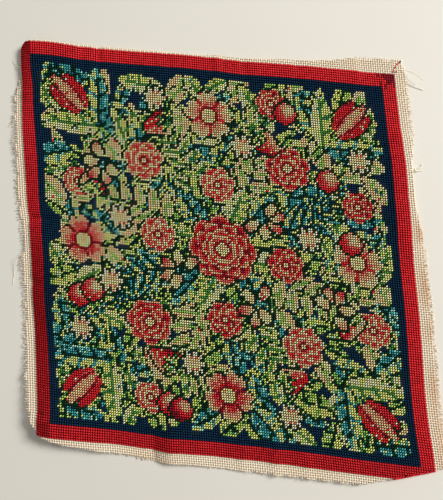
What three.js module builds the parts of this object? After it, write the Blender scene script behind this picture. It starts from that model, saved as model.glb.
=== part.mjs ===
// A needlepoint canvas panel as it lies on a table: a woven cotton canvas with raw, partly turned
// margins, a plain wool border round its worked square, and the stitched wool field inside that.
// Millimetres, +Z up. Stitch rows run along +X, and the upright threads lean to the left because the
// worked canvas has pulled out of square. The origin is under the middle of the panel's box.
import * as THREE from 'three';

// Driving dimensions
const PITCH = 2.54;
const ACROSS = 168;
const UP = 172;
const BORDER = 6;
const LEAN = THREE.MathUtils.degToRad(10.1);
const CANVAS_THICK = 1.0;
const WOOL_THICK = 1.2;
const GAP = 0.3;
const FOLD_RADIUS = 0.8;
const NARROWEST_MARGIN = 1.6;
const SHORTEST_FLAP = 0.8;
// The panel lies level on a hem this far past its raw edge, and comes down to the table over a ramp.
const HEM_LEVEL = 3;
const HEM_RAMP = 14;
// The same for the folded corner, measured inwards from its fold line.
const CORNER_LEVEL = 16;
const CORNER_RAMP = 32;
// Cells of the surface: their number across and up the field, the width of the first cell inside the
// worked edge in stitches, and the steps round a fold.
const FIELD_CELLS = 27;
const EDGE_CELL = 2;
const FOLD_STEPS = 4;

const HALF_TURN = Math.PI * FOLD_RADIUS;
const FOLD_REACH = FOLD_RADIUS + CANVAS_THICK / 2;
const RESTING_MID = CANVAS_THICK / 2;
const WOOL_LOW = CANVAS_THICK / 2 + GAP;
const WOOL_HIGH = WOOL_LOW + WOOL_THICK;

// Each side from its first corner to its last, as fractions of its length: how far the worked edge
// bows outwards, how much margin shows from above, how wide that margin is when opened flat, and how
// far its outer edge rises from the surface of the panel beside it.
const SIDES = {
  left: [
    { at: 0.0, bow: -1.6, shown: 1.9, cut: 11.6, rise: 0.0 },
    { at: 0.02, bow: -1.9, shown: 6.7, cut: 11.6, rise: 0.5 },
    { at: 0.06, bow: -2.6, shown: 12.0, cut: 12.4, rise: 1.5 },
    { at: 0.1, bow: -2.4, shown: 14.0, cut: 14.0, rise: 2.5 },
    { at: 0.2, bow: -1.2, shown: 13.2, cut: 13.2, rise: 2.0 },
    { at: 0.33, bow: -0.8, shown: 10.8, cut: 10.8, rise: 1.5 },
    { at: 0.43, bow: -2.2, shown: 13.0, cut: 13.0, rise: 3.0 },
    { at: 0.48, bow: -1.8, shown: 9.8, cut: 9.8, rise: 1.5 },
    { at: 0.54, bow: -0.8, shown: 12.0, cut: 12.0, rise: 1.5 },
    { at: 0.6, bow: 0.9, shown: 12.0, cut: 12.0, rise: 1.5 },
    { at: 0.7, bow: 0.4, shown: 12.4, cut: 12.4, rise: 1.5 },
    { at: 0.77, bow: 0.1, shown: 11.0, cut: 11.0, rise: 1.0 },
    { at: 0.84, bow: -1.0, shown: 11.4, cut: 11.4, rise: 1.0 },
    { at: 0.89, bow: -3.1, shown: 7.0, cut: 11.6, rise: 0.0 },
    { at: 0.93, bow: -3.0, shown: 1.9, cut: 11.6, rise: 0.0 },
    { at: 1.0, bow: -4.2, shown: 1.9, cut: 11.6, rise: 0.0 },
  ],
  right: [
    { at: 0.0, bow: 0.9, shown: 16.0, cut: 16.0, rise: 0.0 },
    { at: 0.1, bow: -0.5, shown: 16.2, cut: 16.2, rise: 0.3 },
    { at: 0.21, bow: -1.8, shown: 16.2, cut: 16.2, rise: 0.5 },
    { at: 0.37, bow: -0.5, shown: 15.2, cut: 15.2, rise: 0.0 },
    { at: 0.51, bow: -1.3, shown: 15.0, cut: 15.0, rise: 0.0 },
    { at: 0.57, bow: -1.4, shown: 13.4, cut: 15.4, rise: 0.0 },
    { at: 0.61, bow: -0.8, shown: 11.2, cut: 15.4, rise: 0.0 },
    { at: 0.66, bow: -0.7, shown: 8.3, cut: 15.4, rise: 0.0 },
    { at: 0.76, bow: -0.7, shown: 7.4, cut: 15.4, rise: 0.0 },
    { at: 0.82, bow: -1.8, shown: 11.6, cut: 15.4, rise: 0.0 },
    { at: 0.87, bow: -2.6, shown: 14.4, cut: 14.4, rise: 0.5 },
    { at: 1.0, bow: -3.9, shown: 15.2, cut: 15.2, rise: 0.5 },
  ],
  bottom: [
    { at: 0.0, bow: 0.4, shown: 2.4, cut: 11.6, rise: 0.0 },
    { at: 0.06, bow: 1.1, shown: 6.0, cut: 11.6, rise: 0.0 },
    { at: 0.13, bow: 1.5, shown: 8.8, cut: 11.6, rise: 0.0 },
    { at: 0.2, bow: 1.9, shown: 10.4, cut: 10.4, rise: 0.0 },
    { at: 0.31, bow: 3.3, shown: 12.8, cut: 12.8, rise: 0.0 },
    { at: 0.39, bow: 1.8, shown: 13.4, cut: 13.4, rise: -1.5 },
    { at: 0.45, bow: 1.8, shown: 13.4, cut: 13.4, rise: 0.0 },
    { at: 0.55, bow: 1.1, shown: 12.6, cut: 12.6, rise: 0.3 },
    { at: 0.7, bow: 0.4, shown: 12.6, cut: 12.6, rise: 0.0 },
    { at: 0.8, bow: 0.4, shown: 12.3, cut: 12.3, rise: 0.0 },
    { at: 1.0, bow: 0.0, shown: 12.0, cut: 12.0, rise: 0.0 },
  ],
  top: [
    { at: 0.0, bow: 0.3, shown: 1.9, cut: 18.6, rise: 0.0 },
    { at: 0.08, bow: 1.4, shown: 2.6, cut: 18.6, rise: 0.0 },
    { at: 0.16, bow: 0.5, shown: 3.3, cut: 18.6, rise: 0.0 },
    { at: 0.3, bow: 1.0, shown: 3.5, cut: 18.6, rise: 0.0 },
    { at: 0.44, bow: 2.0, shown: 3.0, cut: 18.6, rise: 0.0 },
    { at: 0.6, bow: 0.7, shown: 4.9, cut: 18.6, rise: 0.0 },
    { at: 0.77, bow: 1.7, shown: 7.8, cut: 18.6, rise: 0.0 },
    { at: 0.83, bow: 1.3, shown: 10.1, cut: 18.6, rise: 0.0 },
    { at: 0.88, bow: 1.3, shown: 14.2, cut: 18.6, rise: 0.0 },
    { at: 0.92, bow: 1.1, shown: 17.2, cut: 17.2, rise: 0.0 },
    { at: 0.96, bow: 1.4, shown: 18.4, cut: 18.4, rise: 0.2 },
    { at: 1.0, bow: 1.7, shown: 17.5, cut: 17.5, rise: 0.4 },
  ],
};

// Swells and hollows of the cloth: the middle of each as fractions across and up the worked square,
// its reach as fractions of the square, and its height.
const SWELLS = [
  { across: -0.05, up: -0.05, reachAcross: 0.33, reachUp: 0.33, rise: 13 },
  { across: 0.12, up: 0.42, reachAcross: 0.22, reachUp: 0.3, rise: 7 },
  { across: 0.0, up: 0.98, reachAcross: 0.3, reachUp: 0.26, rise: 6 },
  { across: -0.02, up: 0.76, reachAcross: 0.14, reachUp: 0.2, rise: 3.5 },
  { across: 0.37, up: 0.0, reachAcross: 0.1, reachUp: 0.16, rise: 4.5 },
];

// Corners taken off the cloth by a straight cut, and the corner folded under along a straight line:
// how far in from the worked corner the line meets each of its two sides, or, below nothing, how far
// out past the corner it meets the line of that side.
const TOP_LEFT_CUT = { along: 5, up: 5 };
const BOTTOM_LEFT_CUT = { along: 3, up: 3 };
const TOP_RIGHT_CUT = { along: -14.2, up: -49 };
const FOLDED_CORNER = { along: 44, up: 13.5 };

const clamp01 = (t) => Math.min(1, Math.max(0, t));
const easeInOut = (t) => clamp01(t) ** 2 * (3 - 2 * clamp01(t));

// A value of a side's table at a fraction of its length, on a smooth curve through its rows that is
// level at each peak and hollow.
function sideValue(side, column, at) {
  const rows = SIDES[side];
  const t = clamp01(at);
  let k = 0;
  while (k < rows.length - 2 && rows[k + 1].at < t) k += 1;
  const slope = (i) => {
    const [before, here, after] = [rows[Math.max(0, i - 1)], rows[i], rows[Math.min(rows.length - 1, i + 1)]];
    if ((after[column] - here[column]) * (here[column] - before[column]) <= 0) return 0;
    return (after[column] - before[column]) / (after.at - before.at);
  };
  const [a, b] = [rows[k], rows[k + 1]];
  const span = b.at - a.at;
  const s = (t - a.at) / span;
  const fromA = (1 + 2 * s) * (1 - s) ** 2 * a[column] + s * (1 - s) ** 2 * span * slope(k);
  const fromB = s * s * (3 - 2 * s) * b[column] - s * s * (1 - s) * span * slope(k + 1);
  return fromA + fromB;
}

const shownMargin = (side, at) => Math.max(NARROWEST_MARGIN, sideValue(side, 'shown', at));
const foldStart = (side, at) => shownMargin(side, at) - FOLD_REACH;
const flapLength = (side, at) => sideValue(side, 'cut', at) - foldStart(side, at) - HALF_TURN;
const isTurned = (side, at) => flapLength(side, at) > SHORTEST_FLAP;

// Plan position of a point of the canvas, counted in stitches across and up from the worked corner.
function plan(a, b) {
  const u = clamp01(a / ACROSS);
  const v = clamp01(b / UP);
  const sideways = u * sideValue('right', 'bow', v) - (1 - u) * sideValue('left', 'bow', v);
  const upways = v * sideValue('top', 'bow', u) - (1 - v) * sideValue('bottom', 'bow', u);
  const x = PITCH * (a - ACROSS / 2 - (b - UP / 2) * Math.sin(LEAN)) + sideways * Math.cos(LEAN);
  const y = PITCH * (b - UP / 2) * Math.cos(LEAN) + sideways * Math.sin(LEAN) + upways;
  return new THREE.Vector2(x, y);
}

// A straight line in plan. Its normal points to the side that is cut off or folded.
function cornerLine(a, b, { along, up }) {
  const inAlong = a === 0 ? 1 : -1;
  const inUp = b === 0 ? 1 : -1;
  const first = plan(a + (inAlong * along) / PITCH, b);
  const second = plan(a, b + (inUp * up) / PITCH);
  const run = second.clone().sub(first).normalize();
  const normal = new THREE.Vector2(run.y, -run.x);
  if (normal.dot(plan(a, b).sub(plan(ACROSS / 2, UP / 2))) < 0) normal.negate();
  return { point: first, normal };
}
const beyond = (line, p) => p.clone().sub(line.point).dot(line.normal);

const topLeftLine = cornerLine(0, UP, TOP_LEFT_CUT);
const bottomLeftLine = cornerLine(0, 0, BOTTOM_LEFT_CUT);
const topRightLine = cornerLine(ACROSS, UP, TOP_RIGHT_CUT);
const foldLine = cornerLine(ACROSS, 0, FOLDED_CORNER);

// How much the panel is lifted by a margin turned under it: not at all beside an open margin.
function hemLift(u, v) {
  const sides = [
    { side: 'left', at: v, inside: u * ACROSS * PITCH },
    { side: 'right', at: v, inside: (1 - u) * ACROSS * PITCH },
    { side: 'bottom', at: u, inside: v * UP * PITCH },
    { side: 'top', at: u, inside: (1 - v) * UP * PITCH },
  ];
  const lifts = sides.map(({ side, at, inside }) => {
    const flap = flapLength(side, at);
    const open = FOLD_REACH - HALF_TURN;
    const grown = easeInOut((flap - open) / (SHORTEST_FLAP - open));
    const level = Math.max(0, flap) + HEM_LEVEL;
    return 2 * FOLD_RADIUS * grown * easeInOut(1 - (inside - level) / HEM_RAMP);
  });
  return Math.max(...lifts);
}

// How much the folded corner lifts the panel above it: two layers of wool and canvas, then canvas.
function cornerLift(p) {
  const inside = -beyond(foldLine, p);
  const bothLayers = 2 * FOLD_RADIUS + GAP + WOOL_THICK;
  return bothLayers * easeInOut(1 - (inside - CORNER_LEVEL) / CORNER_RAMP);
}

// Height of the middle of the canvas at a place on the panel.
function height(a, b) {
  const u = a / ACROSS;
  const v = b / UP;
  let rise = 0;
  for (const swell of SWELLS) {
    const reach = Math.hypot((u - swell.across) / swell.reachAcross, (v - swell.up) / swell.reachUp);
    if (reach < 1) rise += swell.rise * Math.cos((Math.PI / 2) * reach) ** 2;
  }
  return RESTING_MID + rise + Math.max(hemLift(clamp01(u), clamp01(v)), cornerLift(plan(a, b)));
}

// The margin that a point of the canvas is in, if any.
function marginOf(a, b) {
  if (a < 0) return { side: 'left', at: b / UP, out: -a, place: (m) => [-m, b] };
  if (a > ACROSS) return { side: 'right', at: b / UP, out: a - ACROSS, place: (m) => [ACROSS + m, b] };
  if (b < 0) return { side: 'bottom', at: a / ACROSS, out: -b, place: (m) => [a, -m] };
  if (b > UP) return { side: 'top', at: a / ACROSS, out: b - UP, place: (m) => [a, UP + m] };
  return null;
}

// Where a point of the cloth lies: counted in stitches, and so far above the middle of the canvas.
function lie(a, b, above) {
  const margin = marginOf(a, b);
  let place = [a, b];
  let turned = 0;
  let edgeRise = 0;
  if (margin) {
    const out = margin.out * PITCH;
    const shown = shownMargin(margin.side, margin.at);
    edgeRise = sideValue(margin.side, 'rise', margin.at) * Math.min(1, out / shown) ** 2;
    const start = foldStart(margin.side, margin.at);
    if (isTurned(margin.side, margin.at) && out > start) {
      turned = Math.min(Math.PI, (out - start) / FOLD_RADIUS);
      const back = Math.max(0, out - start - HALF_TURN);
      place = margin.place((start + (FOLD_RADIUS + above) * Math.sin(turned) - back) / PITCH);
    }
  }
  let p = plan(...place);
  let z = height(...place) + edgeRise;
  const past = beyond(foldLine, p);
  if (past > 0) {
    turned = Math.min(Math.PI, past / FOLD_RADIUS);
    const back = Math.max(0, past - HALF_TURN);
    const shift = (FOLD_RADIUS + above) * Math.sin(turned) - back - past;
    p = p.addScaledVector(foldLine.normal, shift);
    z = RESTING_MID + cornerLift(p);
  }
  z += (FOLD_RADIUS + above) * Math.cos(turned) - FOLD_RADIUS;
  return new THREE.Vector3(p.x, p.y, z);
}

// Stations along a side of the worked square: evenly over the field, and closer in the border.
function stations(length, border) {
  const [from, to] = [border, length - border];
  const field = Array.from({ length: FIELD_CELLS }, (_, i) => from + ((to - from) * i) / FIELD_CELLS);
  return [0, EDGE_CELL, ...field, to, length - EDGE_CELL, length];
}

// A flat pattern: points counted in stitches, and triangles between them.
class Pattern {
  constructor() {
    this.points = [];
    this.triangles = [];
    this.index = new Map();
  }

  point(a, b) {
    const key = `${a.toFixed(4)} ${b.toFixed(4)}`;
    if (!this.index.has(key)) {
      this.index.set(key, this.points.length);
      this.points.push([a, b]);
    }
    return this.index.get(key);
  }

  // A face from its corners in order round it, counter-clockwise seen from above.
  face(corners) {
    const loop = corners.map(([a, b]) => this.point(a, b));
    for (let k = 1; k < loop.length - 1; k += 1) this.triangles.push([loop[0], loop[k], loop[k + 1]]);
  }

  // Cuts the triangles along a line parallel to the given one, and drops what is past it if asked.
  cut(line, offset, drop) {
    const past = this.points.map(([a, b]) => beyond(line, plan(a, b)) - offset);
    const near = 1e-4;
    const kept = [];
    const crossing = (i, j) => {
      const t = past[i] / (past[i] - past[j]);
      const [p, q] = [this.points[i], this.points[j]];
      const made = this.point(p[0] + (q[0] - p[0]) * t, p[1] + (q[1] - p[1]) * t);
      if (made === past.length) past.push(0);
      return made;
    };
    for (const triangle of this.triangles) {
      const side = triangle.map((i) => (Math.abs(past[i]) < near ? 0 : Math.sign(past[i])));
      const inside = [];
      const outside = [];
      for (let k = 0; k < 3; k += 1) {
        const [i, j] = [triangle[k], triangle[(k + 1) % 3]];
        if (side[k] <= 0) inside.push(i);
        if (side[k] >= 0) outside.push(i);
        if (side[k] * side[(k + 1) % 3] < 0) {
          const made = crossing(i, j);
          inside.push(made);
          outside.push(made);
        }
      }
      const fan = (loop) => {
        for (let k = 1; k < loop.length - 1; k += 1) kept.push([loop[0], loop[k], loop[k + 1]]);
      };
      if (Math.min(...side) === 0 && Math.max(...side) === 0) kept.push(triangle);
      else {
        if (Math.min(...side) < 0) fan(inside);
        if (!drop && Math.max(...side) > 0) fan(outside);
      }
    }
    this.triangles = kept;
  }

  // The closed solid of this pattern between two heights above the middle of the canvas.
  solid(low, high) {
    const used = [...new Set(this.triangles.flat())];
    const slot = new Map(used.map((i, n) => [i, n]));
    const count = used.length;
    const positions = [];
    for (const above of [high, low]) {
      for (const i of used) positions.push(...lie(...this.points[i], above).toArray());
    }
    const edges = new Map();
    const faces = [];
    for (const triangle of this.triangles) {
      const [i, j, k] = triangle.map((n) => slot.get(n));
      faces.push(i, j, k, k + count, j + count, i + count);
      for (const [m, n] of [[i, j], [j, k], [k, i]]) {
        if (edges.has(`${n} ${m}`)) edges.delete(`${n} ${m}`);
        else edges.set(`${m} ${n}`, [m, n]);
      }
    }
    for (const [m, n] of edges.values()) faces.push(m, m + count, n + count, m, n + count, n);
    const geometry = new THREE.BufferGeometry();
    geometry.setAttribute('position', new THREE.Float32BufferAttribute(positions, 3));
    geometry.setIndex(faces);
    geometry.computeVertexNormals();
    return geometry;
  }
}

// Cuts that every layer shares: the corners taken off, and the lines round the folded corner.
function shapeCorners(pattern) {
  for (const line of [topLeftLine, bottomLeftLine, topRightLine]) pattern.cut(line, 0, true);
  for (let step = 0; step <= FOLD_STEPS; step += 1) {
    pattern.cut(foldLine, (HALF_TURN * step) / FOLD_STEPS, false);
  }
}

// Cells of the worked square that a test keeps, with its border so many stitches wide.
function addSquare(pattern, border, keep) {
  const [across, up] = [stations(ACROSS, border), stations(UP, border)];
  for (let i = 0; i < across.length - 1; i += 1) {
    for (let j = 0; j < up.length - 1; j += 1) {
      const [a, c, b, d] = [across[i], across[i + 1], up[j], up[j + 1]];
      if (keep((a + c) / 2, (b + d) / 2)) pattern.face([[a, b], [c, b], [c, d], [a, d]]);
    }
  }
}

// The rows of one margin at a place along it: flat ones out to its edge, or out to its fold and then
// round the turn and back under the panel.
function marginRows(side, at) {
  const flat = isTurned(side, at) ? foldStart(side, at) : shownMargin(side, at);
  const rows = [0, flat / 2, flat];
  if (isTurned(side, at)) {
    for (let step = 1; step <= FOLD_STEPS; step += 1) rows.push(flat + (HALF_TURN * step) / FOLD_STEPS);
    rows.push(sideValue(side, 'cut', at));
  }
  return rows.map((out) => out / PITCH);
}

function addMargin(pattern, side, along, length, place) {
  for (let i = 0; i < along.length - 1; i += 1) {
    const [s, t] = [along[i], along[i + 1]];
    const near = marginRows(side, s / length).map((out) => place(s, out));
    const far = marginRows(side, t / length).map((out) => place(t, out));
    const shared = Math.min(near.length, far.length) - 1;
    for (let k = 0; k < shared; k += 1) pattern.face([near[k], far[k], far[k + 1], near[k + 1]]);
    // Where a turned margin ends, its edge uncurls to the open margin beside it.
    for (let k = shared; k < shared + FOLD_STEPS / 2; k += 1) {
      if (near.length > far.length) pattern.face([near[k], far[shared], near[k + 1]]);
      if (near.length < far.length) pattern.face([near[shared], far[k], far[k + 1]]);
    }
  }
}

// The corner of margin between the right side and the top or bottom, where both lie open.
function addMarginCorner(pattern, ending, b, outwards) {
  const across = marginRows('right', b / UP).slice(0, 3);
  const up = marginRows(ending, 1).slice(0, 3);
  for (let i = 0; i < 2; i += 1) {
    for (let j = 0; j < 2; j += 1) {
      const [a, c] = [ACROSS + across[i], ACROSS + across[i + 1]];
      const [lower, upper] = [b + outwards * up[j], b + outwards * up[j + 1]];
      const corners = [[a, lower], [c, lower], [c, upper], [a, upper]];
      pattern.face(outwards > 0 ? corners : corners.reverse());
    }
  }
}

function buildCanvas() {
  const pattern = new Pattern();
  const [across, up] = [stations(ACROSS, BORDER), stations(UP, BORDER)];
  addSquare(pattern, BORDER, () => true);
  addMargin(pattern, 'top', across, ACROSS, (s, out) => [s, UP + out]);
  addMargin(pattern, 'left', up, UP, (s, out) => [-out, s]);
  addMargin(pattern, 'bottom', across.toReversed(), ACROSS, (s, out) => [s, -out]);
  addMargin(pattern, 'right', up.toReversed(), UP, (s, out) => [ACROSS + out, s]);
  addMarginCorner(pattern, 'top', UP, 1);
  addMarginCorner(pattern, 'bottom', 0, -1);
  shapeCorners(pattern);
  return pattern.solid(-CANVAS_THICK / 2, CANVAS_THICK / 2);
}

const inField = (a, b) => a > BORDER && a < ACROSS - BORDER && b > BORDER && b < UP - BORDER;
const inBorder = (a, b) => !inField(a, b);

// One of the two fields of wool. Their meeting edges stand half a gap back from the border's edge.
function buildWool(keep) {
  const half = GAP / 2 / PITCH;
  const pattern = new Pattern();
  addSquare(pattern, keep === inField ? BORDER + half : BORDER - half, keep);
  shapeCorners(pattern);
  return pattern.solid(WOOL_LOW, WOOL_HIGH);
}

function piece(name, geometry, colour, roughness) {
  const material = new THREE.MeshStandardMaterial({ color: colour, roughness, metalness: 0 });
  const mesh = new THREE.Mesh(geometry, material);
  mesh.name = name;
  return mesh;
}

const panel = new THREE.Group();
panel.add(piece('canvas', buildCanvas(), 0xe4dac4, 0.9));
panel.add(piece('border_wool', buildWool(inBorder), 0xa8122a, 0.85));
panel.add(piece('field_wool', buildWool(inField), 0x17303c, 0.85));

// The origin goes under the middle of the panel's box, on the table.
const box = new THREE.Box3().setFromObject(panel);
const middle = box.getCenter(new THREE.Vector3());
for (const mesh of panel.children) mesh.geometry.translate(-middle.x, -middle.y, -box.min.z);

export default panel;
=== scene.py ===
# A needlepoint canvas panel lying face up on a pale table: woven cotton canvas, a plain border and a
# flower and leaf field in wool tent stitch, raw and turned margins, and one corner folded under.
import math

import bpy
import numpy as np
from mathutils import Matrix, Vector


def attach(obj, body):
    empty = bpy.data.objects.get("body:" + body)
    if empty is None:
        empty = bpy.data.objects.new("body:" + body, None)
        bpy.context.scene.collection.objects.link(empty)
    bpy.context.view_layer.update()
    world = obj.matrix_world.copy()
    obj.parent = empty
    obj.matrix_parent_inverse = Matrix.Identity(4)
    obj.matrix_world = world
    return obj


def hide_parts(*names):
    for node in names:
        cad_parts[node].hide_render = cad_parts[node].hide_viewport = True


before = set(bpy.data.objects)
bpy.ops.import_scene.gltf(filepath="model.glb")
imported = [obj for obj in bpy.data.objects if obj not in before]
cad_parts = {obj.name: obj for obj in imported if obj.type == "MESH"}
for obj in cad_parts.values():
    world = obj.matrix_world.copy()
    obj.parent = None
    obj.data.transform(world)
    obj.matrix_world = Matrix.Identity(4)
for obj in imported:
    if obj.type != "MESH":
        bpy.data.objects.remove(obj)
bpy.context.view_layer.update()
MM = 0.001

# The camera: a phone held over the panel, a little towards its lower right, turned slightly left.
# The photograph is 443 x 500 pixels.
eye = Vector((22.7, -19.6, 527.2)) * MM
looking = Vector((-0.05247, 0.04296, -0.99770)).normalized()
photo_up = Vector((-0.10367, 0.99344, 0.04823)).normalized()
photo_right = looking.cross(photo_up).normalized()
photo_up = photo_right.cross(looking)


def add_object(name, data):
    made = bpy.data.objects.new(name, data)
    bpy.context.scene.collection.objects.link(made)
    return made


camera_data = bpy.data.cameras.new("camera")
camera_data.sensor_width = 36
camera_data.lens = 34.56
camera_data.clip_start = 0.01
camera = add_object("camera", camera_data)
turn = Matrix((photo_right, photo_up, -looking)).transposed()
camera.matrix_world = Matrix.Translation(eye) @ turn.to_4x4()
bpy.context.scene.camera = camera


# A loose thread: a cotton end pulled from the raw left edge of the canvas. It leaves the edge above the
# table, runs down beside it and ends lying on the table.
def linear(colour):
    c = np.array(colour) / 255
    return np.where(c > 0.04045, ((c + 0.055) / 1.055) ** 2.4, c / 12.92)


def opaque(*colour):
    return (*linear(colour), 1)


def node(tree, kind, inputs=(), **settings):
    """A new node, with its settings, and the values of those inputs that nothing is linked to."""
    made = tree.nodes.new(kind)
    for name, value in settings.items():
        setattr(made, name, value)
    for socket, value in dict(inputs).items():
        made.inputs[socket].default_value = value
    return made


def wire(tree, *links):
    """Links nodes: each link is a node and its output, and the node and input that it goes to."""
    for source, output, target, socket in links:
        tree.links.new(source.outputs[output], target.inputs[socket])


def add_material(name, roughness, gloss):
    made = bpy.data.materials.new(name)
    made.use_nodes = True
    shader = made.node_tree.nodes["Principled BSDF"]
    shader.inputs["Roughness"].default_value = roughness
    shader.inputs["Specular IOR Level"].default_value = gloss
    return made, made.node_tree, shader


cotton, tree, shader = add_material("cotton canvas", 0.9, 0.2)
spot = node(tree, "ShaderNodeTexCoord")
stain = node(tree, "ShaderNodeAttribute", attribute_name="stain")
dip = node(tree, "ShaderNodeAttribute", attribute_name="dip")
slubs = node(tree, "ShaderNodeTexNoise", {"Scale": 1400, "Detail": 4})
blotches = node(tree, "ShaderNodeTexNoise", {"Scale": 28})
pale_and_dark = {"A": opaque(252, 244, 226), "B": opaque(246, 230, 198)}
clean = node(tree, "ShaderNodeMix", pale_and_dark, data_type="RGBA")
stained_and_dip_shaded = node(tree, "ShaderNodeMix", {"B": opaque(214, 168, 122)}, data_type="RGBA")
# Painted shade: where a thread passes under its crossing thread it is drawn towards tan and darkened; real
# tan stains add to the same mix.
stain_and_dip_shade = node(tree, "ShaderNodeMath", {1: 0.35}, operation="MULTIPLY_ADD")
grainy = node(tree, "ShaderNodeMapRange", {"To Min": 0.8, "To Max": 1.12})
painted_dip_shade = node(tree, "ShaderNodeMapRange", {"To Min": 1.06, "To Max": 0.82})
grain_and_dip_shade = node(tree, "ShaderNodeMath", operation="MULTIPLY")
toned_and_shaded = node(tree, "ShaderNodeMix", {"Factor": 1}, data_type="RGBA", blend_type="MULTIPLY")
bump = node(tree, "ShaderNodeBump", {"Strength": 0.5, "Distance": 0.00015})
wire(
    tree,
    (spot, "Object", slubs, "Vector"),
    (spot, "Object", blotches, "Vector"),
    (blotches, "Fac", clean, "Factor"),
    (clean, "Result", stained_and_dip_shaded, "A"),
    (dip, "Fac", stain_and_dip_shade, 0),
    (stain, "Fac", stain_and_dip_shade, 2),
    (stain_and_dip_shade, "Value", stained_and_dip_shaded, "Factor"),
    (slubs, "Fac", grainy, "Value"),
    (dip, "Fac", painted_dip_shade, "Value"),
    (grainy, "Result", grain_and_dip_shade, 0),
    (painted_dip_shade, "Result", grain_and_dip_shade, 1),
    (stained_and_dip_shaded, "Result", toned_and_shaded, "A"),
    (grain_and_dip_shade, "Value", toned_and_shaded, "B"),
    (toned_and_shaded, "Result", shader, "Base Color"),
    (slubs, "Fac", bump, "Height"),
    (bump, "Normal", shader, "Normal"),
)

LOOSE_THREAD = 0.5
loose_route = [
    (-229.4, -27.2, 5.2), (-229.6, -28.9, 5.25), (-229.9, -30.7, 5.1), (-230.3, -32.5, 4.8),
    (-230.7, -34.3, 4.4), (-231.1, -36.2, 3.9), (-231.5, -38.1, 3.35), (-231.9, -40.0, 2.8),
    (-232.3, -42.0, 2.25), (-232.6, -44.0, 1.75), (-232.9, -46.0, 1.3), (-233.1, -48.0, 0.95),
    (-233.3, -50.0, 0.65), (-233.5, -52.0, 0.45), (-233.6, -54.0, 0.32), (-233.6, -56.0, 0.26),
    (-233.5, -58.0, 0.25), (-233.3, -59.8, 0.25),
]
loose_curve = bpy.data.curves.new("loose_thread", "CURVE")
loose_curve.dimensions = "3D"
loose_curve.bevel_depth = LOOSE_THREAD / 2 * MM
loose_curve.bevel_resolution = 1
loose_curve.use_fill_caps = True
spline = loose_curve.splines.new("POLY")
spline.points.add(len(loose_route) - 1)
for point, (x, y, z) in zip(spline.points, loose_route):
    point.co = (x * MM, y * MM, z * MM, 1)
loose_thread = add_object("loose_thread", loose_curve)
loose_curve.materials.append(cotton)
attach(loose_thread, "root")

# The cloth: one piece of cotton canvas with ten holes to 25.4 mm, whose worked square has pulled out
# of square. Its margins lie open, or turned under as hems, and its lower right corner is folded under.
# Places on it are counted in stitches, across and up from the square's lower left corner, and sizes are
# in millimetres.
PITCH = 2.54
ACROSS = 168
UP = 172
BORDER = 6
LEAN = math.radians(10.1)
CANVAS_THICK = 1.0
WOOL_THICK = 1.2
GAP = 0.3
FOLD_RADIUS = 0.8
NARROWEST_MARGIN = 1.6
SHORTEST_FLAP = 0.8
HEM_LEVEL = 3
HEM_RAMP = 14
CORNER_LEVEL = 16
CORNER_RAMP = 32
FOLD_ALONG = 44
FOLD_UP = 13.5
ORIGIN = (7.996, 1.608)
HALF_TURN = math.pi * FOLD_RADIUS
FOLD_REACH = FOLD_RADIUS + CANVAS_THICK / 2
RESTING_MID = CANVAS_THICK / 2

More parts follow.
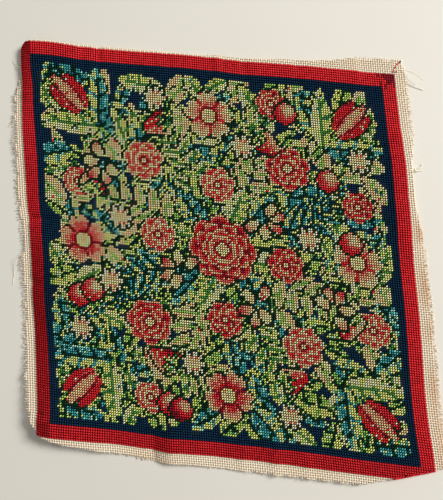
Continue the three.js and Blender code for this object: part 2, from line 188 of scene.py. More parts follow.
# Each side from its first corner to its last: place along it, outward bow of the worked edge, margin
# that shows from above, margin opened flat, and rise of its outer edge from the panel beside it.
SIDE_COLUMNS = {"bow": 1, "shown": 2, "cut": 3, "rise": 4}
SIDES = {
    "left": (
        (0.0, -1.6, 1.9, 11.6, 0.0),
        (0.02, -1.9, 6.7, 11.6, 0.5),
        (0.06, -2.6, 12.0, 12.4, 1.5),
        (0.1, -2.4, 14.0, 14.0, 2.5),
        (0.2, -1.2, 13.2, 13.2, 2.0),
        (0.33, -0.8, 10.8, 10.8, 1.5),
        (0.43, -2.2, 13.0, 13.0, 3.0),
        (0.48, -1.8, 9.8, 9.8, 1.5),
        (0.54, -0.8, 12.0, 12.0, 1.5),
        (0.6, 0.9, 12.0, 12.0, 1.5),
        (0.7, 0.4, 12.4, 12.4, 1.5),
        (0.77, 0.1, 11.0, 11.0, 1.0),
        (0.84, -1.0, 11.4, 11.4, 1.0),
        (0.89, -3.1, 7.0, 11.6, 0.0),
        (0.93, -3.0, 1.9, 11.6, 0.0),
        (1.0, -4.2, 1.9, 11.6, 0.0),
    ),
    "right": (
        (0.0, 0.9, 16.0, 16.0, 0.0),
        (0.1, -0.5, 16.2, 16.2, 0.3),
        (0.21, -1.8, 16.2, 16.2, 0.5),
        (0.37, -0.5, 15.2, 15.2, 0.0),
        (0.51, -1.3, 15.0, 15.0, 0.0),
        (0.57, -1.4, 13.4, 15.4, 0.0),
        (0.61, -0.8, 11.2, 15.4, 0.0),
        (0.66, -0.7, 8.3, 15.4, 0.0),
        (0.76, -0.7, 7.4, 15.4, 0.0),
        (0.82, -1.8, 11.6, 15.4, 0.0),
        (0.87, -2.6, 14.4, 14.4, 0.5),
        (1.0, -3.9, 15.2, 15.2, 0.5),
    ),
    "bottom": (
        (0.0, 0.4, 2.4, 11.6, 0.0),
        (0.06, 1.1, 6.0, 11.6, 0.0),
        (0.13, 1.5, 8.8, 11.6, 0.0),
        (0.2, 1.9, 10.4, 10.4, 0.0),
        (0.31, 3.3, 12.8, 12.8, 0.0),
        (0.39, 1.8, 13.4, 13.4, -1.5),
        (0.45, 1.8, 13.4, 13.4, 0.0),
        (0.55, 1.1, 12.6, 12.6, 0.3),
        (0.7, 0.4, 12.6, 12.6, 0.0),
        (0.8, 0.4, 12.3, 12.3, 0.0),
        (1.0, 0.0, 12.0, 12.0, 0.0),
    ),
    "top": (
        (0.0, 0.3, 1.9, 18.6, 0.0),
        (0.08, 1.4, 2.6, 18.6, 0.0),
        (0.16, 0.5, 3.3, 18.6, 0.0),
        (0.3, 1.0, 3.5, 18.6, 0.0),
        (0.44, 2.0, 3.0, 18.6, 0.0),
        (0.6, 0.7, 4.9, 18.6, 0.0),
        (0.77, 1.7, 7.8, 18.6, 0.0),
        (0.83, 1.3, 10.1, 18.6, 0.0),
        (0.88, 1.3, 14.2, 18.6, 0.0),
        (0.92, 1.1, 17.2, 17.2, 0.0),
        (0.96, 1.4, 18.4, 18.4, 0.2),
        (1.0, 1.7, 17.5, 17.5, 0.4),
    ),
}
# Swells of the cloth: middle across and up, reach across and up, all as fractions, and height.
SWELLS = (
    (-0.05, -0.05, 0.33, 0.33, 13),
    (0.12, 0.42, 0.22, 0.3, 7),
    (0.0, 0.98, 0.3, 0.26, 6),
    (-0.02, 0.76, 0.14, 0.2, 3.5),
    (0.37, 0.0, 0.1, 0.16, 4.5),
)
# The worked square also stands a little proud of its margins.
BULGE = 1.4
BULGE_REACH = 12
BULGE_SLOPE = 16
# Small creases: from and to, counted in stitches, half their width in stitches, and depth. A crease of
# negative depth is a ridge.
CREASES = (
    (89.5, 178, 88.5, 122, 2.0, -1.7),
    (101.5, 178, 101.2, 158, 2.0, 1.2),
    (35.0, 178, 35.8, 156, 1.7, 1.8),
    (27.0, 178, 27.5, 160, 1.8, 1.3),
    (-8, 93.4, 18, 92.8, 1.8, 2.0),
    (-8, 66, 9, 64, 2.4, 1.4),
    (49.3, -8, 49.8, 12, 2.4, 1.9),
    (57.3, -8, 58.0, 14, 3.4, -1.8),
    (88.0, -8, 88.6, 12, 2.6, -1.2),
    (102.0, -8, 102.8, 14, 3.0, -1.9),
    (115.0, -8, 115.8, 10, 2.4, -1.0),
    (66, 178, 68, 158, 2.4, 0.9),
    (126, 178, 124, 160, 2.4, 0.9),
    (158, 120, 175, 118, 2.4, 0.9),
    (158, 60, 175, 63, 2.4, 0.9),
    (30, 60, 60, 88, 5.0, 0.5),
    (98, 40, 122, 24, 5.0, 0.5),
    (20, 130, 44, 118, 5.0, 0.5),
    (120, 100, 150, 112, 5.0, 0.4),
)
CREASE_START = 4
CREASE_FADE = 0.4
# The upper left of the border is rolled down at its edge, so that its columns look closer: from and to
# how far up, how many stitches it draws together and between which columns, how far out, and how deep.
ROLL_FROM = 118
ROLL_FULL = 168
ROLL_SQUEEZE = 1.1
SQUEEZE_GROWS = 6
SQUEEZE_ENDS = 30
SQUEEZE_FADES = 22
ROLL_OUT = 0.6
ROLL_OUT_WIDE = 10
ROLL_DROP = 2.4
ROLL_WIDE = 5
# All of the left edge is rolled down a little, by an uneven depth.
LEFT_ROLL = 2.7
LEFT_ROLL_WIDE = 7
# Each rounded corner of the worked square: its corner, and its radius in stitches.
ROUNDED = ((0, UP, 4.5), (0, 0, 2.4))
ROUNDED_DROP = 0.7


def ease(t):
    t = np.clip(t, 0, 1)
    return t * t * (3 - 2 * t)


def unit(v):
    return v / np.linalg.norm(v, axis=-1, keepdims=True)


def rolled(b):
    return ease((b - ROLL_FROM) / (ROLL_FULL - ROLL_FROM))


def small_folds(a, b):
    depth = 0
    for from_a, from_b, to_a, to_b, half, deep in CREASES:
        run_a, run_b = to_a - from_a, to_b - from_b
        run = math.hypot(run_a, run_b)
        along = ((a - from_a) * run_a + (b - from_b) * run_b) / run
        side = ((a - from_a) * run_b - (b - from_b) * run_a) / run
        ends = ease(along / CREASE_START) * ease((run - along) / (CREASE_FADE * run))
        depth = depth + deep * ends * np.exp(-((side / half) ** 2))
    drop = ROLL_DROP * rolled(b) * np.clip(1 - a / ROLL_WIDE, 0, 1.2) ** 2
    uneven = 0.8 + 0.2 * np.sin(b * 0.13 + 1)
    return depth + drop + LEFT_ROLL * uneven * np.clip(1 - a / LEFT_ROLL_WIDE, 0, 1.15) ** 1.4


def rounded(a, b):
    """How far the cloth past a rounded corner is drawn in, along and up, in stitches."""
    in_a, in_b = 0, 0
    for corner_a, corner_b, radius in ROUNDED:
        toward_a = 1 if corner_a == 0 else -1
        toward_b = 1 if corner_b == 0 else -1
        from_a = np.maximum(radius - toward_a * (a - corner_a), 0)
        from_b = np.maximum(radius - toward_b * (b - corner_b), 0)
        reach = np.hypot(from_a, from_b)
        straight = np.maximum(np.maximum(from_a, from_b), radius)
        excess = np.maximum(reach - straight, 0) * (from_a > 0) * (from_b > 0)
        share = excess / np.maximum(reach, 0.1)
        in_a = in_a + toward_a * share * from_a
        in_b = in_b + toward_b * share * from_b
    return in_a, in_b


def side_value(side, column, at):
    """A column of a side's table, on a smooth curve through its rows."""
    rows = np.array(SIDES[side])
    known, value = rows[:, 0], rows[:, SIDE_COLUMNS[column]]
    t = np.clip(at, 0, 1)
    k = np.clip(np.searchsorted(known, t, side="left") - 1, 0, len(known) - 2)
    before = np.maximum(np.arange(len(known)) - 1, 0)
    after = np.minimum(np.arange(len(known)) + 1, len(known) - 1)
    climbing = (value[after] - value) * (value - value[before]) > 0
    slope = (value[after] - value[before]) / (known[after] - known[before]) * climbing
    span = known[k + 1] - known[k]
    s = (t - known[k]) / span
    from_here = (1 + 2 * s) * (1 - s) ** 2 * value[k] + s * (1 - s) ** 2 * span * slope[k]
    from_next = s * s * (3 - 2 * s) * value[k + 1] - s * s * (1 - s) * span * slope[k + 1]
    return from_here + from_next


def shown_margin(side, at):
    return np.maximum(NARROWEST_MARGIN, side_value(side, "shown", at))


def fold_start(side, at):
    return shown_margin(side, at) - FOLD_REACH


def flap_length(side, at):
    return side_value(side, "cut", at) - fold_start(side, at) - HALF_TURN


def plan(a, b):
    u, v = np.clip(a / ACROSS, 0, 1), np.clip(b / UP, 0, 1)
    sideways = u * side_value("right", "bow", v) - (1 - u) * side_value("left", "bow", v)
    upways = v * side_value("top", "bow", u) - (1 - v) * side_value("bottom", "bow", u)
    x = PITCH * (a - ACROSS / 2 - (b - UP / 2) * math.sin(LEAN)) + sideways * math.cos(LEAN)
    y = PITCH * (b - UP / 2) * math.cos(LEAN) + sideways * math.sin(LEAN) + upways
    return np.stack(np.broadcast_arrays(x, y), -1)


def plan_of(a, b):
    return plan(np.array(float(a)), np.array(float(b)))


def corner_line(a, b, along, up):
    """A straight line over a corner, so many millimetres along its row and up its column."""
    toward_a = 1 if a == 0 else -1
    toward_b = 1 if b == 0 else -1
    begin = plan_of(a + toward_a * along / PITCH, b)
    end = plan_of(a, b + toward_b * up / PITCH)
    run = (end - begin) / np.linalg.norm(end - begin)
    normal = np.array((run[1], -run[0]))
    outwards = plan_of(a, b) - plan_of(ACROSS / 2, UP / 2)
    return begin, normal if normal @ outwards > 0 else -normal


def beyond(line, p):
    return (p - line[0]) @ line[1]


# Three corners of the canvas are cut off, and the fourth is folded under.
top_left_line = corner_line(0, UP, 5, 5)
bottom_left_line = corner_line(0, 0, 3, 3)
top_right_line = corner_line(ACROSS, UP, -14.2, -49)
fold_line = corner_line(ACROSS, 0, FOLD_ALONG, FOLD_UP)


def hem_lift(u, v):
    """How far the hems under the cloth lift it."""
    lift = 0
    for side, at, inside in (
        ("left", v, u * ACROSS * PITCH),
        ("right", v, (1 - u) * ACROSS * PITCH),
        ("bottom", u, v * UP * PITCH),
        ("top", u, (1 - v) * UP * PITCH),
    ):
        flap = flap_length(side, at)
        unfolded = FOLD_REACH - HALF_TURN
        grown = ease((flap - unfolded) / (SHORTEST_FLAP - unfolded))
        down = ease(1 - (inside - np.maximum(0, flap) - HEM_LEVEL) / HEM_RAMP)
        lift = np.maximum(lift, 2 * FOLD_RADIUS * grown * down)
    return lift


def corner_lift(p):
    both_layers = 2 * FOLD_RADIUS + GAP + WOOL_THICK
    return both_layers * ease(1 - (-beyond(fold_line, p) - CORNER_LEVEL) / CORNER_RAMP)


def height(a, b):
    u, v = a / ACROSS, b / UP
    rise = 0
    for across_at, up_at, reach_across, reach_up, swell in SWELLS:
        reach = np.hypot((u - across_at) / reach_across, (v - up_at) / reach_up)
        rise = rise + swell * np.cos(math.pi / 2 * np.minimum(reach, 1)) ** 2
    hems = hem_lift(np.clip(u, 0, 1), np.clip(v, 0, 1))
    layers_under = np.maximum(hems, corner_lift(plan(a, b)))
    bulge = BULGE
    for inside in (a, ACROSS - a, b, UP - b):
        bulge = bulge * ease((inside + BULGE_REACH) / BULGE_SLOPE)
    return RESTING_MID + layers_under + np.maximum(rise + bulge - small_folds(a, b), 0)


def lie(a, b, above):
    """Where the cloth lies, in metres, so many millimetres above the middle of its canvas."""
    a, b, above = (np.array(v, float) for v in np.broadcast_arrays(a, b, above))
    narrowing = ROLL_SQUEEZE * rolled(b) * ease(a / SQUEEZE_GROWS)
    a = a - narrowing * ease((SQUEEZE_ENDS - a) / SQUEEZE_FADES)
    a = a - ROLL_OUT * rolled(b) * ease((ROLL_OUT_WIDE - a) / ROLL_OUT_WIDE)
    place_a, place_b = a.copy(), b.copy()
    turned, edge_rise = np.zeros_like(a), np.zeros_like(a)
    free = np.ones(a.shape, bool)
    for side, inside, at, out in (
        ("left", a < 0, b / UP, -a * PITCH),
        ("right", a > ACROSS, b / UP, (a - ACROSS) * PITCH),
        ("bottom", b < 0, a / ACROSS, -b * PITCH),
        ("top", b > UP, a / ACROSS, (b - UP) * PITCH),
    ):
        here = inside & free
        free &= ~inside
        shown = shown_margin(side, at)
        rise = side_value(side, "rise", at) * np.minimum(1, out / shown) ** 2
        edge_rise = np.where(here, rise, edge_rise)
        start = fold_start(side, at)
        folded = here & (flap_length(side, at) > SHORTEST_FLAP) & (out > start)
        turned = np.where(folded, np.clip((out - start) / FOLD_RADIUS, 0, math.pi), turned)
        back = np.maximum(0, out - start - HALF_TURN)
        new_out = (start + (FOLD_RADIUS + above) * np.sin(turned) - back) / PITCH
        if side in ("left", "right"):
            place_a = np.where(folded, -new_out if side == "left" else ACROSS + new_out, place_a)
        else:
            place_b = np.where(folded, -new_out if side == "bottom" else UP + new_out, place_b)
    in_a, in_b = rounded(place_a, place_b)
    place_a, place_b = place_a + in_a, place_b + in_b
    p = plan(place_a, place_b)
    z = height(place_a, place_b) + edge_rise - ROUNDED_DROP * np.hypot(in_a, in_b)
    z = np.maximum(z, RESTING_MID)
    past = beyond(fold_line, p)
    under = past > 0
    turned = np.where(under, np.clip(past / FOLD_RADIUS, 0, math.pi), turned)
    back = np.maximum(0, past - HALF_TURN)
    shift = np.where(under, (FOLD_RADIUS + above) * np.sin(turned) - back - past, 0)
    p = p + shift[..., None] * fold_line[1]
    z = np.where(under, RESTING_MID + corner_lift(p), z)
    z = z + (FOLD_RADIUS + above) * np.cos(turned) - FOLD_RADIUS
    return np.concatenate([p - ORIGIN, z[..., None]], -1) * MM


def facing(a, b, above=0.0):
    """The directions of the cloth at a place: along its rows, up its columns, and out of its face."""
    step = 0.05
    rows = lie(a + step, b, above) - lie(a - step, b, above)
    columns = lie(a, b + step, above) - lie(a, b - step, above)
    return unit(rows), unit(columns), unit(np.cross(rows, columns))


# The chart that the panel is worked from: a plain border, and a field of leaves, flowers and fruit on a
# dark blue ground. Each stitch has one square, in one of twenty wools shaded from dark to light.
WOOLS = {
    "navy": (14, 40, 62), "maroon": (118, 12, 30), "crimson": (188, 2, 28), "scarlet": (232, 58, 56),
    "coral": (250, 126, 96), "salmon": (250, 162, 114), "peach": (250, 200, 134), "cream": (252, 224, 156),
    "ochre": (242, 188, 100), "gold": (252, 220, 126), "pine": (12, 42, 30), "forest": (54, 114, 52),
    "moss": (116, 162, 72), "olive": (162, 192, 84), "sage": (190, 210, 98),
    "lime": (206, 232, 92), "pale_lime": (232, 246, 138), "deep_teal": (24, 94, 104),
    "teal": (50, 136, 136), "light_teal": (124, 196, 168),
}
BORDER_TONE = 0.82
# The bottom side of the border is darkened as painted shade.
BOTTOM_BAND_PAINTED_SHADE = 0.8
# The left side of the border is darkened as painted shade, most of all low down and at its top: up the side,
# and tone.
LEFT_BAND_PAINTED_SHADE = (
    (0.0, 0.62), (0.3, 0.5), (0.44, 0.58), (0.52, 0.85), (0.82, 0.95), (0.93, 0.65), (1.0, 0.4),
)
wool_names = list(WOOLS)
wool_number = {name: k for k, name in enumerate(wool_names)}
across, up = np.meshgrid(np.arange(ACROSS) + 0.5, np.arange(UP) + 0.5)
chart = np.full((UP, ACROSS), wool_number["navy"])
chance = np.random.default_rng(7)
mottle = chance.random((UP, ACROSS))
broken = chance.random((UP, ACROSS))
greens = ("pine", "forest", "moss", "olive", "sage", "lime")
limes = ("forest", "olive", "sage", "lime", "pale_lime")
teals = ("pine", "deep_teal", "teal", "light_teal", "sage")
reds = ("maroon", "crimson", "crimson", "scarlet", "coral", "salmon")
pinks = ("crimson", "scarlet", "scarlet", "coral", "salmon", "peach")
golds = ("moss", "ochre", "peach", "gold", "salmon")
whites = ("scarlet", "coral", "salmon", "peach", "cream")


def work(shape, family, shade):
    """Works a shape in a family of wools, by a shade from dark, 0, to light, 1, and a little by chance."""
    steps = np.array([wool_number[name] for name in family])
    mixed = np.clip(shade + 0.25 * (mottle - 0.5), 0, 0.999)
    chart[shape] = steps[(mixed * len(steps)).astype(int)][shape]


def outline(shape, wool="pine", share=0.62):
    """A broken line of dark stitches round a shape, where it lies over other work."""
    grown = shape.copy()
    for rows, columns in ((1, 0), (-1, 0), (0, 1), (0, -1)):
        grown |= np.roll(shape, (rows, columns), (0, 1))
    line = grown & ~shape & (chart != wool_number["navy"]) & (broken < share)
    chart[line] = wool_number[wool]


def seen_from(x, y, angle):
    """Where each square lies from a place, along a direction in degrees and to its side."""
    dx, dy = across - x, up - y
    c, s = math.cos(math.radians(angle)), math.sin(math.radians(angle))
    return dx * c + dy * s, dy * c - dx * s


def leaf(x, y, angle, length, width, family, teeth=0, veins=5):
    """A leaf from its stalk end, with a midrib, side veins and, if asked, a toothed edge."""
    along, side = seen_from(x, y, angle)
    t = np.clip(along / length, 0, 1)
    half = width / 2 * np.sin(math.pi * t**0.8) ** 0.75
    if teeth:
        half = half * (0.82 + 0.3 * (t * teeth % 1))
    shape = (along > 0) & (along < length) & (np.abs(side) < np.maximum(half, 0.45))
    outline(shape)
    s = np.abs(side) / np.maximum(half, 0.5)
    shade = 0.68 + 0.2 * np.sign(side) * (s > 0.12) + 0.2 * (s - 0.4)
    ribs = np.cos(2 * math.pi * veins * (t - 0.07 * s))
    shade = shade - 0.45 * (ribs > 0.8) * (s > 0.15) - 0.6 * (np.abs(side) < 0.6) * (t < 0.8)
    work(shape, family, shade)


def bloom(x, y, radius, petals, rings, turn=0, family=reds):
    """A full flower: rings of petals, each light at its rim and dark where it meets the next."""
    r, angle = np.hypot(across - x, up - y), np.arctan2(up - y, across - x)
    for ring in range(rings):
        phase = math.radians(turn) + ring * math.pi / petals
        lobe = np.abs(np.cos(petals * (angle - phase) / 2))
        rim = radius * (1 - ring * 0.78 / rings) * (0.80 + 0.20 * lobe**0.6)
        if ring == 0:
            outline(r < rim)
        depth = (rim - r) / (radius * 0.78 / rings)
        shade = np.where(lobe < 0.22, 0.05, 0.93 - 0.8 * depth)
        work(r < rim, family, np.clip(shade + 0.06 * ring, 0, 1))
    centre = r < radius * 0.17
    outline(centre, "maroon", 1)
    work(centre, golds, 1.1 - 3 * r / radius + 0.2 * np.sign(up - y))


def open_rose(x, y, radius, turn=0, family=pinks):
    """An open flower of five notched petals."""
    r, angle = np.hypot(across - x, up - y), np.arctan2(up - y, across - x) - math.radians(turn)
    lobe = np.abs(np.cos(2.5 * angle))
    rim = radius * (0.58 + 0.42 * lobe**0.5) * (1 - 0.12 * (lobe > 0.97))
    outline(r < rim)
    work(r < rim, family, np.where(lobe < 0.25, 0.0, 0.1 + 0.85 * r / np.maximum(rim, 1)))
    eye = r < radius * 0.27
    outline(eye, "maroon", 1)
    work(eye, golds, 1.1 - 3 * r / radius)


def tulip(x, y, angle, length):
    """A tulip from the side: two outer petals that part over a middle one."""
    along, side = seen_from(x, y, angle)
    t = along / length
    half = 0.36 * length * np.sin(math.pi * np.clip(0.12 + 0.74 * t, 0, 1)) ** 0.8
    tips = 0.74 + 0.26 * np.abs(np.cos(2.4 * math.pi * side / (0.72 * length)))
    shape = (t > 0) & (t < tips) & (np.abs(side) < half)
    outline(shape)
    s = np.abs(side) / np.maximum(half, 0.5)
    middle = s < 0.42 * np.sin(math.pi * np.clip(t, 0, 1)) ** 0.5
    shade = np.where(middle, 0.95 - 1.1 * s + 0.1 * t, 0.3 + 0.6 * (1 - s) - 0.2 * t)
    work(shape, reds, np.clip(np.where(np.abs(s - 0.42) < 0.09, 0.0, shade), 0, 1))


def cherry(x, y, radius, family):
    """A round fruit, light at its upper right and dark at its lower left."""
    dx, dy = across - x, up - y
    shape = np.hypot(dx, dy) < radius
    outline(shape, "pine", 1)
    lit = np.hypot(dx - 0.3 * radius, dy - 0.35 * radius) / (1.25 * radius)
    work(shape, family, 1.15 - 1.25 * lit)


def strawberry(x, y, angle, length):
    """A strawberry with gold seeds, and a green cap at its stalk end."""
    along, side = seen_from(x, y, angle)
    t = np.clip(along / length, 0, 1)
    half = 0.48 * length * np.sqrt(np.clip(1 - (1.25 * t - 0.25) ** 2, 0, 1)) * (1 - 0.25 * t)
    shape = (along > 0) & (along < length) & (np.abs(side) < half)
    outline(shape, "pine", 1)
    work(shape, reds, 0.5 + 0.4 * side / np.maximum(half, 1))
    seeds = ((np.floor(across) * 2 + np.floor(up) * 3) % 7 == 0) & shape & (np.abs(side) < half - 1)
    chart[seeds] = wool_number["gold"]
    for k in range(-2, 3):
        leaf(x, y, angle + 36 * k, length * 0.42, 3.4, limes, veins=1)


def daisy(x, y, radius):
    """A small daisy of nine petals with a golden eye."""
    r, angle = np.hypot(across - x, up - y), np.arctan2(up - y, across - x)
    lobe = np.abs(np.cos(9 * angle / 2))
    shape = r < radius * (0.62 + 0.38 * lobe)
    outline(shape, "pine", 1)
    work(shape, whites, np.where(lobe < 0.3, 0.0, 0.35 + 0.6 * r / radius))
    work(r < radius * 0.33, golds, 0.7 + 0.2 * np.sign(up - y))


def frond(x, y, angle, length, pairs, family, bend):
    """A fern: pairs of small leaves along a bent rib, smaller towards its tip."""
    step = length / pairs
    for k in range(pairs):
        size = length * 0.38 * (1 - 0.6 * k / pairs)
        for side in (56, -56):
            leaf(x, y, angle + side, size, size * 0.46, family, veins=2)
        angle += bend / pairs
        x, y = x + step * math.cos(math.radians(angle)), y + step * math.sin(math.radians(angle))
    leaf(x, y, angle, length * 0.22, length * 0.11, family, veins=2)


def stalk(x0, y0, x1, y1):
    """A straight stalk, two stitches wide."""
    run = math.hypot(x1 - x0, y1 - y0)
    along, side = seen_from(x0, y0, math.degrees(math.atan2(y1 - y0, x1 - x0)))
    shape = (along > 0) & (along < run) & (np.abs(side) < 0.9)
    outline(shape)
    chart[shape] = wool_number["moss"]


def heading(angle):
    """How far across and up one step goes, in a direction in degrees."""
    return math.cos(math.radians(angle)), math.sin(math.radians(angle))


# Small leaves first, all over the ground, in a loose turning order.
LEAVES = 360
LEAF_TRIES = 16000
LEAF_SPACING_SQUARED = 42
LEAF_INSET = 12.5
spots = []
for tries in range(LEAF_TRIES):
    x = chance.uniform(LEAF_INSET, ACROSS - LEAF_INSET)
    y = chance.uniform(LEAF_INSET, UP - LEAF_INSET)
    if len(spots) < LEAVES and all((x - p) ** 2 + (y - q) ** 2 > LEAF_SPACING_SQUARED for p, q in spots):
        spots.append((x, y))
leaf_families = (greens, limes, teals, greens, limes, golds, teals, limes, greens, golds, teals)
for k, (x, y) in enumerate(spots):
    turn = math.degrees(math.atan2(y - UP / 2, x - ACROSS / 2)) + chance.uniform(-70, 70) + 90 * (k % 3)
    size = chance.uniform(12, 19)
    c, s = heading(turn)
    width = size * chance.uniform(0.42, 0.6)
    leaf(x - size / 2 * c, y - size / 2 * s, turn, size, width, leaf_families[k % 11], veins=3)
# Ferns that turn outwards, then toothed leaves in a ring round the middle flower.
FLOWER_ACROSS = 86
FLOWER_UP = 88
for k in range(8):
    turn = 45 * k + 22
    c, s = heading(turn)
    x, y = FLOWER_ACROSS + 26 * c, FLOWER_UP + 26 * s
    frond(x, y, turn - 18, 34, 6, (teals, golds, limes, golds)[k % 4], 50)
for k in range(12):
    turn = 30 * k + 12
    c, s = heading(turn)
    lean, length = (8, 25) if k % 2 else (-8, 20)
    family = (greens, teals, limes)[k % 3]
    x, y = FLOWER_ACROSS + 10 * c, FLOWER_UP + 10 * s
    leaf(x, y, turn + lean, length, 11, family, teeth=5, veins=6)
bloom(FLOWER_ACROSS, FLOWER_UP, 15, 8, 4)
# A tulip on its stalk towards each corner, and an open flower at the middle of each side.
for x, y, angle in ((27, 29, 225), (141, 29, 315), (28, 144, 135), (140, 143, 45)):
    c, s = heading(angle)
    stalk(x - 16 * c, y - 16 * s, x, y)
    leaf(x - 10 * c, y - 10 * s, angle + 42, 27, 9, limes, veins=4)
    leaf(x - 10 * c, y - 10 * s, angle - 42, 27, 9, teals, veins=4)
    tulip(x, y, angle, 19)
open_rose(84, 146, 11, 20)
open_rose(84, 26, 11, 60, reds)
open_rose(144, 88, 11, 10)
open_rose(25, 86, 11, 30, reds)
# Smaller flowers and fruit between them.
for x, y, radius, family in (
    (54, 124, 9, pinks), (117, 126, 10, reds), (52, 54, 10, reds), (118, 50, 9, pinks),
    (58, 92, 8, pinks), (113, 84, 8, reds), (86, 116, 8, pinks), (85, 58, 8, reds),
    (24, 112, 7, pinks), (146, 112, 7, reds), (50, 22, 7, pinks), (112, 154, 7, reds), (148, 60, 8, pinks),
):
    bloom(x, y, radius, 7, 3, 15, family)
for x, y, angle in (
    (66, 142, 200), (104, 140, 320), (62, 36, 150), (108, 34, 20), (30, 108, 80), (140, 66, 250),
):
    strawberry(x, y, angle, 12)
# Sprays of buds: small light ovals in loose arcs, each on a dark ground.
for x, y, turn, step in (
    (66, 76, 40, 52), (106, 104, 215, 50), (36, 120, 110, 56), (131, 68, 300, 54), (100, 64, 70, 60),
):
    for k in range(5):
        r = 7.5 - 0.9 * k
        c, s = heading(turn + step * k)
        along, side = seen_from(x + r * c, y + r * s, turn + step * k)
        chart[np.hypot(along / 4.2, side / 3.2) < 1] = wool_number["pine"]
        bud = np.hypot(along / 3.2, side / 2.1) < 1
        work(bud, (pinks[1:], golds[1:], reds[1:])[k % 3], 0.7 - 0.12 * along)
for x, y in ((22, 62), (28, 65), (142, 96), (58, 20), (63, 18), (118, 150), (134, 122)):
    cherry(x, y, 4.6, reds if x % 2 else pinks)
for x, y in (
    (42, 98), (124, 96), (60, 152), (110, 20), (22, 48), (148, 132), (36, 70), (70, 38), (98, 134),
):
    daisy(x, y, 5.2)
# Single stitches in other wools break up the larger shapes.
drawn = chart.copy()


def squares_in(family):
    """The squares of the drawn chart that are in a family of wools."""
    return np.isin(drawn, [wool_number[name] for name in family])


def restitch(squares, accents):
    """Works some squares again, each in one of four wools by chance."""
    chart[squares] = np.array([wool_number[name] for name in accents])[choice][squares]


speck = chance.random((UP, ACROSS))
choice = chance.integers(0, 4, (UP, ACROSS))
for family, accents, share in (
    (greens + limes, ("pale_lime", "peach", "light_teal", "pine"), 0.04),
    (teals[1:4], ("lime", "light_teal", "deep_teal", "sage"), 0.08),
    (reds[1:] + whites, ("salmon", "crimson", "cream", "coral"), 0.05),
):
    restitch(squares_in(family) & (speck < share), accents)
# The greens are heathered: odd columns carry a warmer or paler wool among the green, even ones a darker.
column = np.floor(across).astype(int)
leafy = squares_in(greens[2:] + limes[1:])
restitch(leafy & (column % 2 == 1) & (broken < 0.12), ("peach", "salmon", "pale_lime", "ochre"))
restitch(leafy & (column % 2 == 0) & (broken > 0.86), ("forest", "pine", "moss", "deep_teal"))
# The border, with a plain dark line inside it, and dark worn wool at its upper right corner.
PLAIN_LINE = 3
WORN_ACROSS = 167
WORN_UP = 171
from_edge = np.minimum(np.minimum(across, ACROSS - across), np.minimum(up, UP - up))
in_border = from_edge < BORDER
chart[from_edge < BORDER + PLAIN_LINE] = wool_number["navy"]
chart[in_border] = wool_number["crimson"]
left_band = across < BORDER
worn = np.hypot(across - WORN_ACROSS, up - WORN_UP) < 3 + 4.5 * broken
chart[in_border & worn] = wool_number["maroon"]
wool_colours = linear([WOOLS[name] for name in wool_names])
stitch_colour = wool_colours[chart]
stitch_colour[in_border] *= BORDER_TONE
# Painted shade: the bottom side of the border is darkened, and the left side by a factor that changes along
# it.
stitch_colour[up < BORDER] *= BOTTOM_BAND_PAINTED_SHADE
heights, shade_factors = zip(*LEFT_BAND_PAINTED_SHADE)
stitch_colour[left_band] *= np.interp(up[left_band] / UP, heights, shade_factors)[:, None]


# The ground of the worked square: the canvas itself, in the colours of the wool that passes through it,
# darkened as painted shade so that it shows only as a dark hollow at each hole. It is one thin sheet.
def add_mesh(name, points, faces):
    mesh = bpy.data.meshes.new(name)
    mesh.from_pydata([tuple(p) for p in points], [], [tuple(f) for f in faces])
    mesh.polygons.foreach_set("use_smooth", [True] * len(mesh.polygons))
    mesh.update()
    return add_object(name, mesh)


def add_colours(piece, name, colours):
    layer = piece.data.attributes.new(name, "FLOAT_COLOR", "POINT")
    layer.data.foreach_set("color", np.concatenate([colours, np.ones((len(colours), 1))], 1).ravel())


GROUND_STEP = 2
GROUND_HALF = 0.25
# How much of the wool's colour the ground keeps under its painted shade: in the border, and in the field.
GROUND_SHADE_BORDER = 0.75
GROUND_SHADE_FIELD = 0.1
ground_a, ground_b = np.meshgrid(
    np.arange(0, ACROSS + 1, GROUND_STEP, float), np.arange(0, UP + 1, GROUND_STEP, float)
)
top_face = lie(ground_a, ground_b, GROUND_HALF).reshape(-1, 3)
low_face = lie(ground_a, ground_b, -GROUND_HALF).reshape(-1, 3)
number = np.arange(ground_a.size).reshape(ground_a.shape)
quads = np.stack([number[:-1, :-1], number[:-1, 1:], number[1:, 1:], number[1:, :-1]], -1).reshape(-1, 4)
rim = np.concatenate([number[0], number[1:, -1], number[-1, -2::-1], number[-2:0:-1, 0]])
walls = [(rim[k - 1], rim[k - 1] + number.size, rim[k] + number.size, rim[k]) for k in range(len(rim))]
ground = add_mesh(
    "canvas_ground",
    np.concatenate([top_face, low_face]),
    [*quads.tolist(), *(quads[:, ::-1] + number.size).tolist(), *walls],
)
near_row = np.clip(ground_b.astype(int) - (ground_b > UP / 2), 0, UP - 1)
near_column = np.clip(ground_a.astype(int) - (ground_a > ACROSS / 2), 0, ACROSS - 1)
ground_shade = np.where(in_border, GROUND_SHADE_BORDER, GROUND_SHADE_FIELD)[near_row, near_column].reshape(-1, 1)
shaded_ground_colour = stitch_colour[near_row, near_column].reshape(-1, 3) * ground_shade
add_colours(ground, "dye", np.concatenate([shaded_ground_colour, shaded_ground_colour]))

